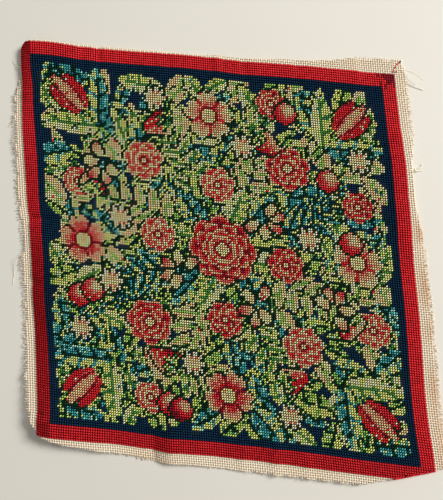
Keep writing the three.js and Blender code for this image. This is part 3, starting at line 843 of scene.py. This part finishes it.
ground_cloth, tree, shader = add_material("shade-painted canvas", 0.95, 0.1)
dye = node(tree, "ShaderNodeAttribute", attribute_name="dye")
spot = node(tree, "ShaderNodeTexCoord")
weave = node(tree, "ShaderNodeTexNoise", {"Scale": 900})
shading = node(tree, "ShaderNodeMix", {"Factor": 0.5}, data_type="RGBA", blend_type="MULTIPLY")
wire(
    tree,
    (spot, "Object", weave, "Vector"),
    (dye, "Color", shading, "A"),
    (weave, "Fac", shading, "B"),
    (shading, "Result", shader, "Base Color"),
)
ground.data.materials.append(ground_cloth)
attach(ground, "root")
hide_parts("canvas")

# The border: a band of plain red tent stitches, six wide. A tent stitch slants over one crossing of the
# canvas, and is two plies of tapestry wool, so it is a plump grain, a little uneven, in the cloth's plane.
wool_effect = bpy.data.node_groups.new("plied wool", "ShaderNodeTree")
for in_out, label, kind in (
    ("INPUT", "Dye", "Color"), ("INPUT", "Painted shade", "Float"), ("INPUT", "Painted sheen", "Float"),
    ("OUTPUT", "Colour", "Color"), ("OUTPUT", "Height", "Float"),
):
    wool_effect.interface.new_socket(label, in_out=in_out, socket_type="NodeSocket" + kind)
group_in = node(wool_effect, "NodeGroupInput")
group_out = node(wool_effect, "NodeGroupOutput")
# Two plies wind round each stitch, and a fine fluff lies over them.
strand = node(wool_effect, "ShaderNodeAttribute", attribute_name="strand")
split = node(wool_effect, "ShaderNodeSeparateXYZ")
slant = node(wool_effect, "ShaderNodeMath", {1: 0.55}, operation="MULTIPLY_ADD")
plies = node(wool_effect, "ShaderNodeMath", {1: 22}, operation="MULTIPLY")
wave = node(wool_effect, "ShaderNodeMath", operation="SINE")
spot = node(wool_effect, "ShaderNodeTexCoord")
fluff = node(wool_effect, "ShaderNodeTexNoise", {"Scale": 2600, "Detail": 3})
both = node(wool_effect, "ShaderNodeMath", {1: 0.3}, operation="MULTIPLY_ADD")
tone = node(wool_effect, "ShaderNodeMapRange", {"To Min": 0.8, "To Max": 1.15})
# A stitch gets painted shade where it sinks between its neighbours, and a paler painted highlight on its top,
# both by the height within the stitch.
painted_shade_range = {"From Min": 0.06, "From Max": 0.26, "To Max": 2.0}
painted_hollow_shade = node(wool_effect, "ShaderNodeMapRange", painted_shade_range, interpolation_type="SMOOTHSTEP")
toned_and_shaded = node(wool_effect, "ShaderNodeMath", operation="MULTIPLY")
dyed_and_shaded = node(wool_effect, "ShaderNodeMix", {"Factor": 1}, data_type="RGBA", blend_type="MULTIPLY")
dyed_and_shaded.clamp_result = True
# Painted highlight: paler colour added on each stitch's top, more on lighter dyes.
painted_crown_highlight = node(wool_effect, "ShaderNodeMapRange", {"From Min": 0.26, "From Max": 0.35})
dye_parts = node(wool_effect, "ShaderNodeSeparateColor")
green_part = node(wool_effect, "ShaderNodeMath", {1: 0.6}, operation="MULTIPLY")
light_dye = node(wool_effect, "ShaderNodeMath", {1: 0.4}, operation="MULTIPLY_ADD")
painted_sheen = node(wool_effect, "ShaderNodeMath", operation="MULTIPLY")
lit = node(wool_effect, "ShaderNodeMix", {"B": (1, 0.93, 0.62, 1)}, data_type="RGBA", blend_type="ADD")
lit.clamp_result = True
wire(
    wool_effect,
    (strand, "Vector", split, "Vector"),
    (split, "X", slant, 0),
    (split, "Y", slant, 2),
    (slant, "Value", plies, 0),
    (plies, "Value", wave, 0),
    (spot, "Object", fluff, "Vector"),
    (wave, "Value", both, 0),
    (fluff, "Fac", both, 2),
    (both, "Value", tone, "Value"),
    (split, "Z", painted_hollow_shade, "Value"),
    (group_in, "Painted shade", painted_hollow_shade, "To Min"),
    (tone, "Result", toned_and_shaded, 0),
    (painted_hollow_shade, "Result", toned_and_shaded, 1),
    (group_in, "Dye", dyed_and_shaded, "A"),
    (toned_and_shaded, "Value", dyed_and_shaded, "B"),
    (split, "Z", painted_crown_highlight, "Value"),
    (group_in, "Painted sheen", painted_crown_highlight, "To Max"),
    (group_in, "Dye", dye_parts, "Color"),
    (dye_parts, "Green", green_part, 0),
    (dye_parts, "Red", light_dye, 0),
    (green_part, "Value", light_dye, 2),
    (painted_crown_highlight, "Result", painted_sheen, 0),
    (light_dye, "Value", painted_sheen, 1),
    (painted_sheen, "Value", lit, "Factor"),
    (dyed_and_shaded, "Result", lit, "A"),
    (lit, "Result", group_out, "Colour"),
    (both, "Value", group_out, "Height"),
)


def wool_material(name, painted_hollow_shade, painted_sheen):
    """Wool whose stitches keep so much of their dye in the painted shade between them, and get so much
    painted highlight on their tops.
    """
    made, tree, shader = add_material(name, 0.8, 0.03)
    dye = node(tree, "ShaderNodeAttribute", attribute_name="dye")
    plied = node(tree, "ShaderNodeGroup", node_tree=wool_effect)
    plied.inputs["Painted shade"].default_value = painted_hollow_shade
    plied.inputs["Painted sheen"].default_value = painted_sheen
    bump = node(tree, "ShaderNodeBump", {"Strength": 0.5, "Distance": 0.0002})
    wire(
        tree,
        (dye, "Color", plied, "Dye"),
        (plied, "Colour", shader, "Base Color"),
        (plied, "Height", bump, "Height"),
        (bump, "Normal", shader, "Normal"),
    )
    return made


# Both wools carry painted shade between their stitches and a painted highlight on their tops.
tapestry_wool = wool_material("tapestry wool", 0.035, 0.24)
border_wool = wool_material("border wool", 0.2, 0.27)

stitching = bpy.data.node_groups.new("stitches", "GeometryNodeTree")
stitching.interface.new_socket("Places", in_out="INPUT", socket_type="NodeSocketGeometry")
for name, kind, value in (
    ("Stitch length", "NodeSocketFloat", 0.0036),
    ("Stitch width", "NodeSocketFloat", 0.0021),
    ("Stitch height", "NodeSocketFloat", 0.0015),
    ("Sides", "NodeSocketInt", 5),
    ("Rings", "NodeSocketInt", 3),
    ("Unevenness", "NodeSocketFloat", 0.1),
    ("Seed", "NodeSocketInt", 1),
    ("Wool", "NodeSocketMaterial", None),
):
    socket = stitching.interface.new_socket(name, in_out="INPUT", socket_type=kind)
    if value is not None:
        socket.default_value = value
stitching.interface.new_socket("Stitches", in_out="OUTPUT", socket_type="NodeSocketGeometry")
group_in = node(stitching, "NodeGroupInput")
group_out = node(stitching, "NodeGroupOutput")
grain = node(stitching, "GeometryNodeMeshUVSphere", {"Radius": 0.5})
laid = node(stitching, "GeometryNodeTransform", {"Rotation": (0, math.pi / 2, 0)})
smooth = node(stitching, "GeometryNodeSetShadeSmooth")
where = node(stitching, "GeometryNodeInputPosition")
keep = node(stitching, "GeometryNodeStoreNamedAttribute", {"Name": "strand"}, data_type="FLOAT_VECTOR")
along = node(stitching, "GeometryNodeInputNamedAttribute", {"Name": "along"}, data_type="FLOAT_VECTOR")
outward = node(stitching, "GeometryNodeInputNamedAttribute", {"Name": "outward"}, data_type="FLOAT_VECTOR")
axes = node(stitching, "FunctionNodeAxesToRotation", primary_axis="Z", secondary_axis="X")
each_way = {"Min": (-1, -1, -1), "Max": (1, 1, 1)}
tilt = node(stitching, "FunctionNodeRandomValue", each_way, data_type="FLOAT_VECTOR")
tilt_size = node(stitching, "ShaderNodeVectorMath", operation="SCALE")
tilt_turn = node(stitching, "FunctionNodeEulerToRotation")
turned_axes = node(stitching, "FunctionNodeRotateRotation", rotation_space="LOCAL")
size = node(stitching, "ShaderNodeCombineXYZ")
next_seed = node(stitching, "ShaderNodeMath", {1: 1}, operation="ADD")
vary = node(stitching, "FunctionNodeRandomValue", each_way, data_type="FLOAT_VECTOR")
share = node(stitching, "ShaderNodeVectorMath", operation="SCALE")
one_more = node(stitching, "ShaderNodeVectorMath", {1: (1, 1, 1)}, operation="ADD")
full_size = node(stitching, "ShaderNodeVectorMath", operation="MULTIPLY")
set_down = node(stitching, "GeometryNodeInstanceOnPoints")
real = node(stitching, "GeometryNodeRealizeInstances")
in_wool = node(stitching, "GeometryNodeSetMaterial")
wire(
    stitching,
    (group_in, "Sides", grain, "Segments"),
    (group_in, "Rings", grain, "Rings"),
    (grain, "Mesh", laid, "Geometry"),
    (laid, "Geometry", smooth, "Geometry"),
    (smooth, "Geometry", keep, "Geometry"),
    (where, "Position", keep, "Value"),
    (outward, "Attribute", axes, "Primary Axis"),
    (along, "Attribute", axes, "Secondary Axis"),
    (group_in, "Seed", tilt, "Seed"),
    (tilt, "Value", tilt_size, 0),
    (group_in, "Unevenness", tilt_size, "Scale"),
    (tilt_size, "Vector", tilt_turn, "Euler"),
    (axes, "Rotation", turned_axes, "Rotation"),
    (tilt_turn, "Rotation", turned_axes, "Rotate By"),
    (group_in, "Stitch length", size, "X"),
    (group_in, "Stitch width", size, "Y"),
    (group_in, "Stitch height", size, "Z"),
    (group_in, "Seed", next_seed, 0),
    (next_seed, "Value", vary, "Seed"),
    (vary, "Value", share, 0),
    (group_in, "Unevenness", share, "Scale"),
    (share, "Vector", one_more, 0),
    (one_more, "Vector", full_size, 0),
    (size, "Vector", full_size, 1),
    (group_in, "Places", set_down, "Points"),
    (keep, "Geometry", set_down, "Instance"),
    (turned_axes, "Rotation", set_down, "Rotation"),
    (full_size, "Vector", set_down, "Scale"),
    (set_down, "Instances", real, "Geometry"),
    (real, "Geometry", in_wool, "Geometry"),
    (group_in, "Wool", in_wool, "Material"),
    (in_wool, "Geometry", group_out, "Stitches"),
)


def worked(name, places, along, outward, colours, sizes, grain, seed, yarn, unevenness=0.07):
    """Stitches at given places of the cloth, each a grain of so many sides and rings, as one plain mesh."""
    marks = bpy.data.meshes.new(name + "_places")
    marks.vertices.add(len(places))
    marks.vertices.foreach_set("co", places.ravel())
    for attribute, values in (("along", along), ("outward", outward)):
        layer = marks.attributes.new(attribute, "FLOAT_VECTOR", "POINT")
        layer.data.foreach_set("vector", values.ravel())
    helper = add_object(name + "_places", marks)
    add_colours(helper, "dye", colours)
    modifier = helper.modifiers.new("stitches", "NODES")
    modifier.node_group = stitching
    chosen = {
        "Stitch length": sizes[0] * MM, "Stitch width": sizes[1] * MM, "Stitch height": sizes[2] * MM,
        "Sides": grain[0], "Rings": grain[1], "Unevenness": unevenness, "Seed": seed, "Wool": yarn,
    }
    for item in stitching.interface.items_tree:
        if item.in_out == "INPUT" and item.name in chosen:
            modifier[item.identifier] = chosen[item.name]
    seen = helper.evaluated_get(bpy.context.evaluated_depsgraph_get())
    mesh = bpy.data.meshes.new_from_object(seen)
    mesh.name = name
    bpy.data.objects.remove(helper)
    return add_object(name, mesh)


# A stitch's length, width and height, how high its middle lies over the canvas's, and its grain.
BORDER_STITCH = (3.15, 2.5, 1.8)
STITCH_MIDDLE = 1.25
FINE_GRAIN = (5, 3)


def wool_stitches(name, kept, above, sizes, grain, seed, rightward, yarn):
    """Stitches on all kept squares of the chart, that slant up and so much to the right."""
    a, b = across[kept], up[kept]
    rows, columns, out = facing(a, b, above)
    along = unit(rows * rightward + columns)
    dyes = stitch_colour[kept] * (0.88 + 0.24 * chance.random((len(a), 1)))
    return worked(name, lie(a, b, above), along, out, dyes, sizes, grain, seed, yarn)


border_stitches = wool_stitches(
    "border_stitches", in_border, STITCH_MIDDLE, BORDER_STITCH, FINE_GRAIN,
    seed=11, rightward=1, yarn=border_wool,
)
# Over the folded corner the border's stitches stretch apart, so the wool of its edge is filled in with
# rows of stitches along the fold, each so many millimetres past it.
FOLD_ROWS = (0.15, 0.55, 0.95, 1.4, 1.85)
FOLD_ROW_LENGTH = 21
FOLD_STITCH = (2.9, 1.9, 1.8)
fold_from = np.array((ACROSS - FOLD_ALONG / PITCH, 0.0))
fold_run = np.array((ACROSS, FOLD_UP / PITCH)) - fold_from
share, past = np.meshgrid(np.linspace(0.012, 0.988, FOLD_ROW_LENGTH), FOLD_ROWS)
past_across, past_up = past * fold_line[1][0] / PITCH, past * fold_line[1][1] / (PITCH * math.cos(LEAN))
fold_a = (fold_from[0] + fold_run[0] * share + past_across + past_up * math.sin(LEAN)).ravel()
fold_b = (fold_from[1] + fold_run[1] * share + past_up).ravel()
rows, columns, out = facing(fold_a, fold_b, STITCH_MIDDLE)
along = unit(rows * fold_run[0] + columns * fold_run[1])
dyes = BORDER_TONE * np.tile(wool_colours[wool_number["crimson"]], (len(fold_a), 1))
dyes = dyes * chance.uniform(0.85, 1.1, (len(fold_a), 1))
fold_stitches = worked(
    "fold_stitches", lie(fold_a, fold_b, STITCH_MIDDLE), along, out, dyes, FOLD_STITCH, FINE_GRAIN,
    seed=15, yarn=border_wool,
)
for piece in (border_stitches, fold_stitches):
    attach(piece, "root")
    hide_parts("border_wool")

# The field: finer tent stitches of the same kind of wool, in the chart's colours, over the whole square
# inside the border. It is made in three parts, from the bottom up.
FIELD_STITCH = (2.8, 1.92, 1.8)
third = (up / UP * 3).astype(int)
for k, part in enumerate(("lower", "middle", "upper")):
    piece = wool_stitches(
        f"field_stitches_{part}", ~in_border & (third == k), STITCH_MIDDLE, FIELD_STITCH, FINE_GRAIN,
        seed=21 + k, rightward=1, yarn=tapestry_wool,
    )
    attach(piece, "root")
    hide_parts("field_wool")

# The back: the same wools pass from stitch to stitch under the canvas, in long, low and more slanted
# stitches, pressed flat against the table.
BACK_STITCH = (4.6, 2.3, 0.55)
BACK_MIDDLE = -0.3
PLAIN_GRAIN = (3, 2)
back_stitches = wool_stitches(
    "back_stitches", across > 0, BACK_MIDDLE, BACK_STITCH, PLAIN_GRAIN,
    seed=31, rightward=2, yarn=tapestry_wool,
)
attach(back_stitches, "root")
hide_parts("canvas")

# The margins: bare canvas of flat cotton threads, each over one and under the next, with open holes.
# The threads across a margin start under the wool and end at the raw edge; those along it end where
# the edge has frayed. Tan stains have soaked into the right and bottom ones.
class Threads:
    """Flat or round threads of cotton or wool, gathered into one mesh."""

    def __init__(self):
        self.points, self.faces, self.stains, self.dips, self.count = [], [], [], [], 0

    def add(self, middle, side, out, wide, thick, stain=0.0, sides=4, dip=0.0):
        n = len(middle)
        angles = 2 * math.pi * np.arange(sides) / sides
        wide, thick = np.broadcast_to(wide, n), np.broadcast_to(thick, n)
        ring = (
            side[:, None] * (np.cos(angles)[None, :, None] * wide[:, None, None] / 2)
            + out[:, None] * (np.sin(angles)[None, :, None] * thick[:, None, None] / 2)
        )
        self.points.append((middle[:, None] + ring * MM).reshape(-1, 3))
        self.stains.append(np.repeat(np.broadcast_to(stain, n), sides))
        self.dips.append(np.repeat(np.broadcast_to(dip, n), sides))
        k, j = np.meshgrid(np.arange(n - 1) * sides, np.arange(sides), indexing="ij")
        j_next = (j + 1) % sides
        quads = np.stack([k + j, k + sides + j, k + sides + j_next, k + j_next], -1)
        self.faces.extend((quads.reshape(-1, 4) + self.count).tolist())
        self.faces.append(list(range(self.count, self.count + sides)))
        last = self.count + (n - 1) * sides
        self.faces.append(list(range(last + sides - 1, last - 1, -1)))
        self.count += n * sides

    def mesh(self, name, material):
        piece = add_mesh(name, np.concatenate(self.points), self.faces)
        for label, values in (("stain", self.stains), ("dip", self.dips)):
            layer = piece.data.attributes.new(label, "FLOAT", "POINT")
            layer.data.foreach_set("value", np.concatenate(values))
        piece.data.materials.append(material)
        return piece


THREAD_WIDE = 1.5
THREAD_THICK = 0.85
THREAD_RISE = 0.3
THREAD_LIFT = 0.24
# Each side's length, its direction outwards and its worked edge, in stitches; then how deep its frayed
# fringe is and how ragged its cut, in millimetres.
EDGES = {"left": (UP, -1, 0), "right": (UP, 1, ACROSS), "bottom": (ACROSS, -1, 0), "top": (ACROSS, 1, UP)}
FRINGE = {"left": 2.6, "right": 3.4, "top": 1.6, "bottom": 0.9}
RAGGED = {"left": 0.8, "right": 0.35, "top": 0.4, "bottom": 0.12}
FIRST_THREAD = {"left": 0, "right": -7, "bottom": 0, "top": 0}
THREADS_PAST_END = {"left": 0, "right": 7, "bottom": 0, "top": 6}
# The cut's unevenness from thread to thread, in stitches; then the fringe's along the margin, how far its
# threads stray at each half stitch and how much thinner they are, and how short a thread falls out.
CUT_CHANCE = 0.25
FRINGE_WAVE = 0.48
WOBBLE = (0.35, 0.35, 0.06)
THINNER = 0.4
FALLS_OUT = 4
# Tan stains: side, place along it, reach along it, and strength.
STAINS = (
    ("right", 0.60, 0.03, 0.8), ("right", 0.47, 0.05, 0.7), ("right", 0.23, 0.05, 0.6),
    ("right", 0.36, 0.03, 0.4), ("right", 0.08, 0.08, 0.5), ("bottom", 0.30, 0.05, 0.3),
)
STAIN_DEPTH = 12
SOILED = 0.08


def raw_edge(side, at):
    """How far out a margin's threads end, in stitches: the cut, a little ragged."""
    waves = np.sin(at * 0.61) + 0.7 * np.sin(at * 1.37 + 1) + 0.5 * np.sin(at * 0.23 + 2)
    return (side_value(side, "cut", at / EDGES[side][0]) + RAGGED[side] * waves / 1.5) / PITCH


def kept_in(a, b):
    """Which points are on the canvas, past none of its cut corners."""
    p = plan(np.asarray(a, float), np.asarray(b, float))
    inside = (beyond(top_left_line, p) < 0) & (beyond(bottom_left_line, p) < 0)
    return inside & (beyond(top_right_line, p) < 0)


def stain_at(side, at, out):
    depth = np.clip(out * PITCH / STAIN_DEPTH, 0, 1)
    strength = SOILED * depth
    for stained_side, middle, reach, dark in STAINS:
        if stained_side == side:
            strength = strength + dark * np.exp(-(((at / EDGES[side][0]) - middle) / reach) ** 2) * depth
    return np.clip(strength, 0, 1)


def runs_of(chosen):
    """Where each unbroken run of chosen points begins and ends."""
    ends = np.flatnonzero(np.diff(np.concatenate([[0], chosen.astype(int), [0]])))
    return zip(ends[::2], ends[1::2])


def margin_threads(side):
    threads = Threads()
    length, sign, worked_edge = EDGES[side]
    fringe = FRINGE[side]
    upright = side in ("left", "right")
    begin, end = FIRST_THREAD[side], length + THREADS_PAST_END[side]

    def lay(at, out, wide, along_margin, loose=0.0):
        """A thread past places so far along the margin and so far out, over one thread and under the next."""
        at, out = np.broadcast_arrays(np.asarray(at, float), np.asarray(out, float))
        over = np.where((np.floor(at) + np.floor(out)) % 2 < 0.5, 1.0, -1.0) * (-1 if along_margin else 1)
        wide = np.broadcast_to(wide, at.shape)
        crossing = np.abs((at if along_margin else out) % 1 - 0.5) < 0.01
        edge = worked_edge + sign * out
        a, b = (edge, at) if upright else (at, edge)
        middle = lie(a, b, THREAD_LIFT + np.where(crossing, over * THREAD_RISE, 0.0)) + loose
        rows, columns, face = facing(a, b)
        beside = np.cross(face, rows if upright != along_margin else columns)
        stain = stain_at(side, at, out)
        # Painted shade, by how far the thread passes under the one it crosses.
        dip = 0.5 - 0.5 * over * crossing
        for n, m in runs_of(kept_in(a, b)):
            if m - n > 1:
                middles, besides, faces = middle[n:m], beside[n:m], face[n:m]
                threads.add(middles, besides, faces, wide[n:m], THREAD_THICK, stain[n:m], 4, dip[n:m])

    for i in range(begin, end):
        cut = float(raw_edge(side, np.array(i + 0.5)))
        out = np.arange(-0.5, cut + chance.uniform(-CUT_CHANCE, CUT_CHANCE), 0.5)
        wobble = chance.normal(0, 1, (len(out), 3)) * np.array(WOBBLE)
        frayed = np.clip((out * PITCH - cut * PITCH + fringe + 1) / fringe, 0, 1)[:, None]
        drift = np.cumsum(wobble * frayed, 0) * MM
        lay(i + 0.5, out, THREAD_WIDE * (1 - THINNER * frayed[:, 0]), False, drift)
    deepest = int(np.max(np.array(SIDES[side])[:, SIDE_COLUMNS["cut"]]) / PITCH) + 1
    at = np.arange(begin, end + 0.25, 0.5)
    for k in range(deepest):
        fringe_here = fringe - FRINGE_WAVE * np.sin(at * 0.9 + k)
        woven = (k + 0.5) * PITCH < raw_edge(side, at) * PITCH - fringe_here
        for n, m in runs_of(woven):
            if m - n > FALLS_OUT:
                lay(at[n:m], k + 0.5, THREAD_WIDE, True)
    return threads


for side in EDGES:
    piece = margin_threads(side).mesh(side + "_margin", cotton)
    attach(piece, "root")
    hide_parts("canvas")


# Frayed ends: cotton threads that have come out of the raw edges, a knot on the right margin, and a few
# longer ends that lie beside the panel. Each is a thin round thread, fixed where it leaves the weave.
def lay_end(threads, points, wide, stain=0.0, sides=3):
    points = np.array(points, float)
    run = unit(np.gradient(points, axis=0))
    side = unit(np.cross(run, (0.05, 0.02, 1.0)))
    threads.add(points * MM, side, np.cross(side, run), wide, wide, stain, sides)


def curved(points, count):
    """A smooth run of points through a few given ones."""
    points = np.array(points, float)
    at = np.linspace(0, len(points) - 1, count)
    k = np.clip(at.astype(int), 0, len(points) - 2)
    t = (at - k)[:, None]
    before, here = points[np.maximum(k - 1, 0)], points[k]
    after, last = points[k + 1], points[np.minimum(k + 2, len(points) - 1)]
    bend = 2 * before - 5 * here + 4 * after - last
    sharp = 3 * here - before - 3 * after + last
    return 0.5 * (2 * here + (after - before) * t + bend * t**2 + sharp * t**3)


frays = Threads()
# Each row: side, from and to along it as fractions, ends to each stitch, length, spread and curl.
FRAYED = (
    ("left", 0.13, 0.55, 0.9, 2.0, 0.7, 1.5),
    ("left", 0.55, 0.9, 0.7, 1.8, 0.6, 1.2),
    ("right", -0.02, 0.56, 2.2, 2.2, 0.18, 0.25),
    ("right", 0.56, 1.0, 0.5, 1.4, 0.8, 0.6),
    ("top", 0.0, 0.5, 1.6, 2.2, 0.35, 0.4),
    ("top", 0.5, 1.0, 0.7, 1.4, 0.5, 0.4),
    ("bottom", 0.12, 0.3, 1.6, 2.0, 0.7, 0.8),
    ("bottom", 0.3, 0.8, 0.25, 0.8, 0.4, 0.5),
)
for side, begin, finish, density, length, spread, curl in FRAYED:
    upright = side in ("left", "right")
    whole, sign, worked_edge = EDGES[side]
    places = np.sort(chance.uniform(begin * whole, finish * whole, int(density * (finish - begin) * whole)))
    edge = np.minimum(raw_edge(side, places), shown_margin(side, places / whole) / PITCH)
    outs = worked_edge + sign * (edge - 0.15)
    a, b = (outs, places) if upright else (places, outs)
    rows, columns, face = facing(a, b)
    outwards = sign * (rows if upright else columns)
    for on_cloth, base, away in zip(kept_in(a, b), lie(a, b, 0.0) / MM, outwards):
        turn = chance.normal(0, spread)
        reach = length * chance.uniform(0.35, 1.25)
        curled = curl * chance.normal()
        lift = chance.uniform(-0.1, 0.45) * reach
        wide = chance.uniform(0.45, 0.85)
        if not on_cloth:
            continue
        t = np.linspace(0, 1, 5)[:, None]
        bend = turn + curled * t
        path = base + reach * t * (np.cos(bend) * away + np.sin(bend) * np.cross((0, 0, 1), away))
        path[:, 2] = np.maximum(base[2] + lift * np.sin(2.2 * t[:, 0]) - 0.25 * t[:, 0] * reach, 0.15)
        lay_end(frays, path, wide, 0.1)
# The knot on the right margin, and the longer ends round the panel: width, stain, sides, how many points
# and the places passed. First the knot's own ends, then two threads at the upper right corner, two under
# the lower left corner, and two beside the left edge.
turns = np.linspace(0, 4 * math.pi, 26)
knot_across, knot_up = 191.5 + 3 * np.cos(turns) - 0.25 * turns, 111.8 + 1.6 * np.sin(turns)
lay_end(frays, np.stack([knot_across, knot_up, 2.5 + 0.8 * np.cos(2.5 * turns)], 1), 1.3, 0.05, 5)
LONG_ENDS = (
    (1.2, 0.05, 5, 10, ((186, 112.8, 1.6), (190, 112.2, 2.4), (194, 111.2, 2.6), (198.5, 110.6, 1.6))),
    (0.5, 0, 3, 12, (
        (187, 112.6, 1.8), (192, 111.4, 2.2), (197, 112.5, 1.6), (200.5, 115.5, 0.9), (202.6, 119, 0.5),
    )),
    (0.45, 0, 3, 10, ((190, 112, 2.0), (195, 110.8, 1.5), (199, 110.4, 0.7), (203.5, 111.5, 0.4))),
    (0.3, 0, 3, 8, ((196, 111.5, 1.5), (199, 113, 1.0), (203, 114, 0.6))),
    (0.7, 0, 4, 24, (
        (168.5, 219.5, 1.6), (171.4, 219.8, 3.0), (177, 218, 5.0),
        (182.6, 215.7, 6.2), (188.3, 212.3, 6.4), (193.5, 208.8, 6.0),
    )),
    (0.7, 0, 3, 12, ((178.3, 207.9, 1.4), (182.8, 205.0, 1.2), (188.4, 202.9, 1.0), (196.2, 200.5, 0.5))),
    (0.45, 0, 3, 12, (
        (-186, -221, 4.0), (-185, -225, 1.6), (-183.6, -228, 0.3), (-181, -231, 0.3), (-178.2, -233.8, 0.3),
    )),
    (0.45, 0, 3, 12, (
        (-172, -222, 4.0), (-170.5, -226, 1.5), (-168.7, -228.3, 0.3),
        (-164.5, -230.6, 0.3), (-160.6, -229.6, 0.3),
    )),
    (0.5, 0, 3, 12, (
        (-255.6, 185.4, 4.0), (-257.5, 187, 3.2), (-260.5, 188.8, 1.6),
        (-263.4, 190.8, 0.6), (-266, 194, 0.3),
    )),
    (0.45, 0, 3, 10, ((-253, 128, 3.0), (-256.3, 125, 2.6), (-259, 121, 1.4), (-261.1, 117, 0.6))),
)
for wide, stained_by, sides, count, passed in LONG_ENDS:
    lay_end(frays, curved(passed, count), wide, stained_by, sides)
frayed_ends = frays.mesh("frayed_ends", cotton)
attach(frayed_ends, "root")
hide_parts("canvas")

# Stray stitches: a short slanting row of wool on the bare margin at the upper right corner, and a loop
# of pink wool pulled out of the lower left of the border.
STRAY = (
    (167.7, 173.1, "crimson"), (168.2, 174.0, "salmon"), (168.6, 174.9, "crimson"), (169.1, 175.8, "coral"),
    (169.7, 176.7, "scarlet"), (170.2, 177.0, "maroon"), (171.1, 177.9, "navy"), (168.9, 173.2, "maroon"),
)
STRAY_MIDDLE = 0.9
LOOP = ((2.0, 10.8, 1.4), (2.3, 10.4, 3.0), (2.9, 9.9, 3.6), (3.4, 9.4, 2.9), (3.7, 9.0, 1.4))
a, b = np.array([row[:2] for row in STRAY]).T
rows, columns, out = facing(a, b, STRAY_MIDDLE)
stray_stitches = worked(
    "stray_stitches",
    lie(a, b, STRAY_MIDDLE),
    unit(rows + columns),
    out,
    linear([WOOLS[row[2]] for row in STRAY]),
    FIELD_STITCH,
    FINE_GRAIN,
    seed=41,
    yarn=tapestry_wool,
    unevenness=0.12,
)
pulled = Threads()
lay_end(pulled, curved(lie(*np.array(LOOP).T) / MM, 12), 0.7, 0.0, 5)
pulled_loop = pulled.mesh("pulled_loop", tapestry_wool)
add_colours(pulled_loop, "dye", np.tile(linear(WOOLS["salmon"]), (len(pulled_loop.data.vertices), 1)))
for piece in (stray_stitches, pulled_loop):
    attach(piece, "root")
    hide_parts("border_wool")

# The table: a plain pale sheet, painted, that the panel lies on.
FLOOR_REACH = 4.0
FLOOR_TOP = -0.0001
corners = [(FLOOR_REACH * x, FLOOR_REACH * y, FLOOR_TOP) for x, y in ((-1, -1), (1, -1), (1, 1), (-1, 1))]
floor_mesh = bpy.data.meshes.new("floor")
floor_mesh.from_pydata(corners, [], [(0, 1, 2, 3)])
floor = add_object("floor", floor_mesh)
paint, tree, shader = add_material("pale table", 0.6, 0.2)
spot = node(tree, "ShaderNodeTexCoord")
cloudy = node(tree, "ShaderNodeTexNoise", {"Scale": 5})
paints = {"A": opaque(226, 222, 211), "B": opaque(230, 226, 216)}
tint = node(tree, "ShaderNodeMix", paints, data_type="RGBA")
wire(
    tree,
    (spot, "Object", cloudy, "Vector"),
    (cloudy, "Fac", tint, "Factor"),
    (tint, "Result", shader, "Base Color"),
)
floor.data.materials.append(paint)

# The light: soft daylight from a window at the upper right, and a little from the whole room.
WINDOW_AT = Vector((2.9, 1.7, 2.3))
window = bpy.data.lights.new("window", "AREA")
window.size = 1.3
window.energy = 200
window.color = (1.0, 0.985, 0.965)
window_turn = (-WINDOW_AT).to_track_quat("-Z", "Y").to_matrix().to_4x4()
add_object("window", window).matrix_world = Matrix.Translation(WINDOW_AT) @ window_turn
world = bpy.data.worlds.new("room light")
world.use_nodes = True
background = world.node_tree.nodes["Background"]
background.inputs["Color"].default_value = (1.0, 0.99, 0.97, 1)
background.inputs["Strength"].default_value = 0.3
bpy.context.scene.world = world
bpy.context.scene.view_settings.view_transform = "Standard"
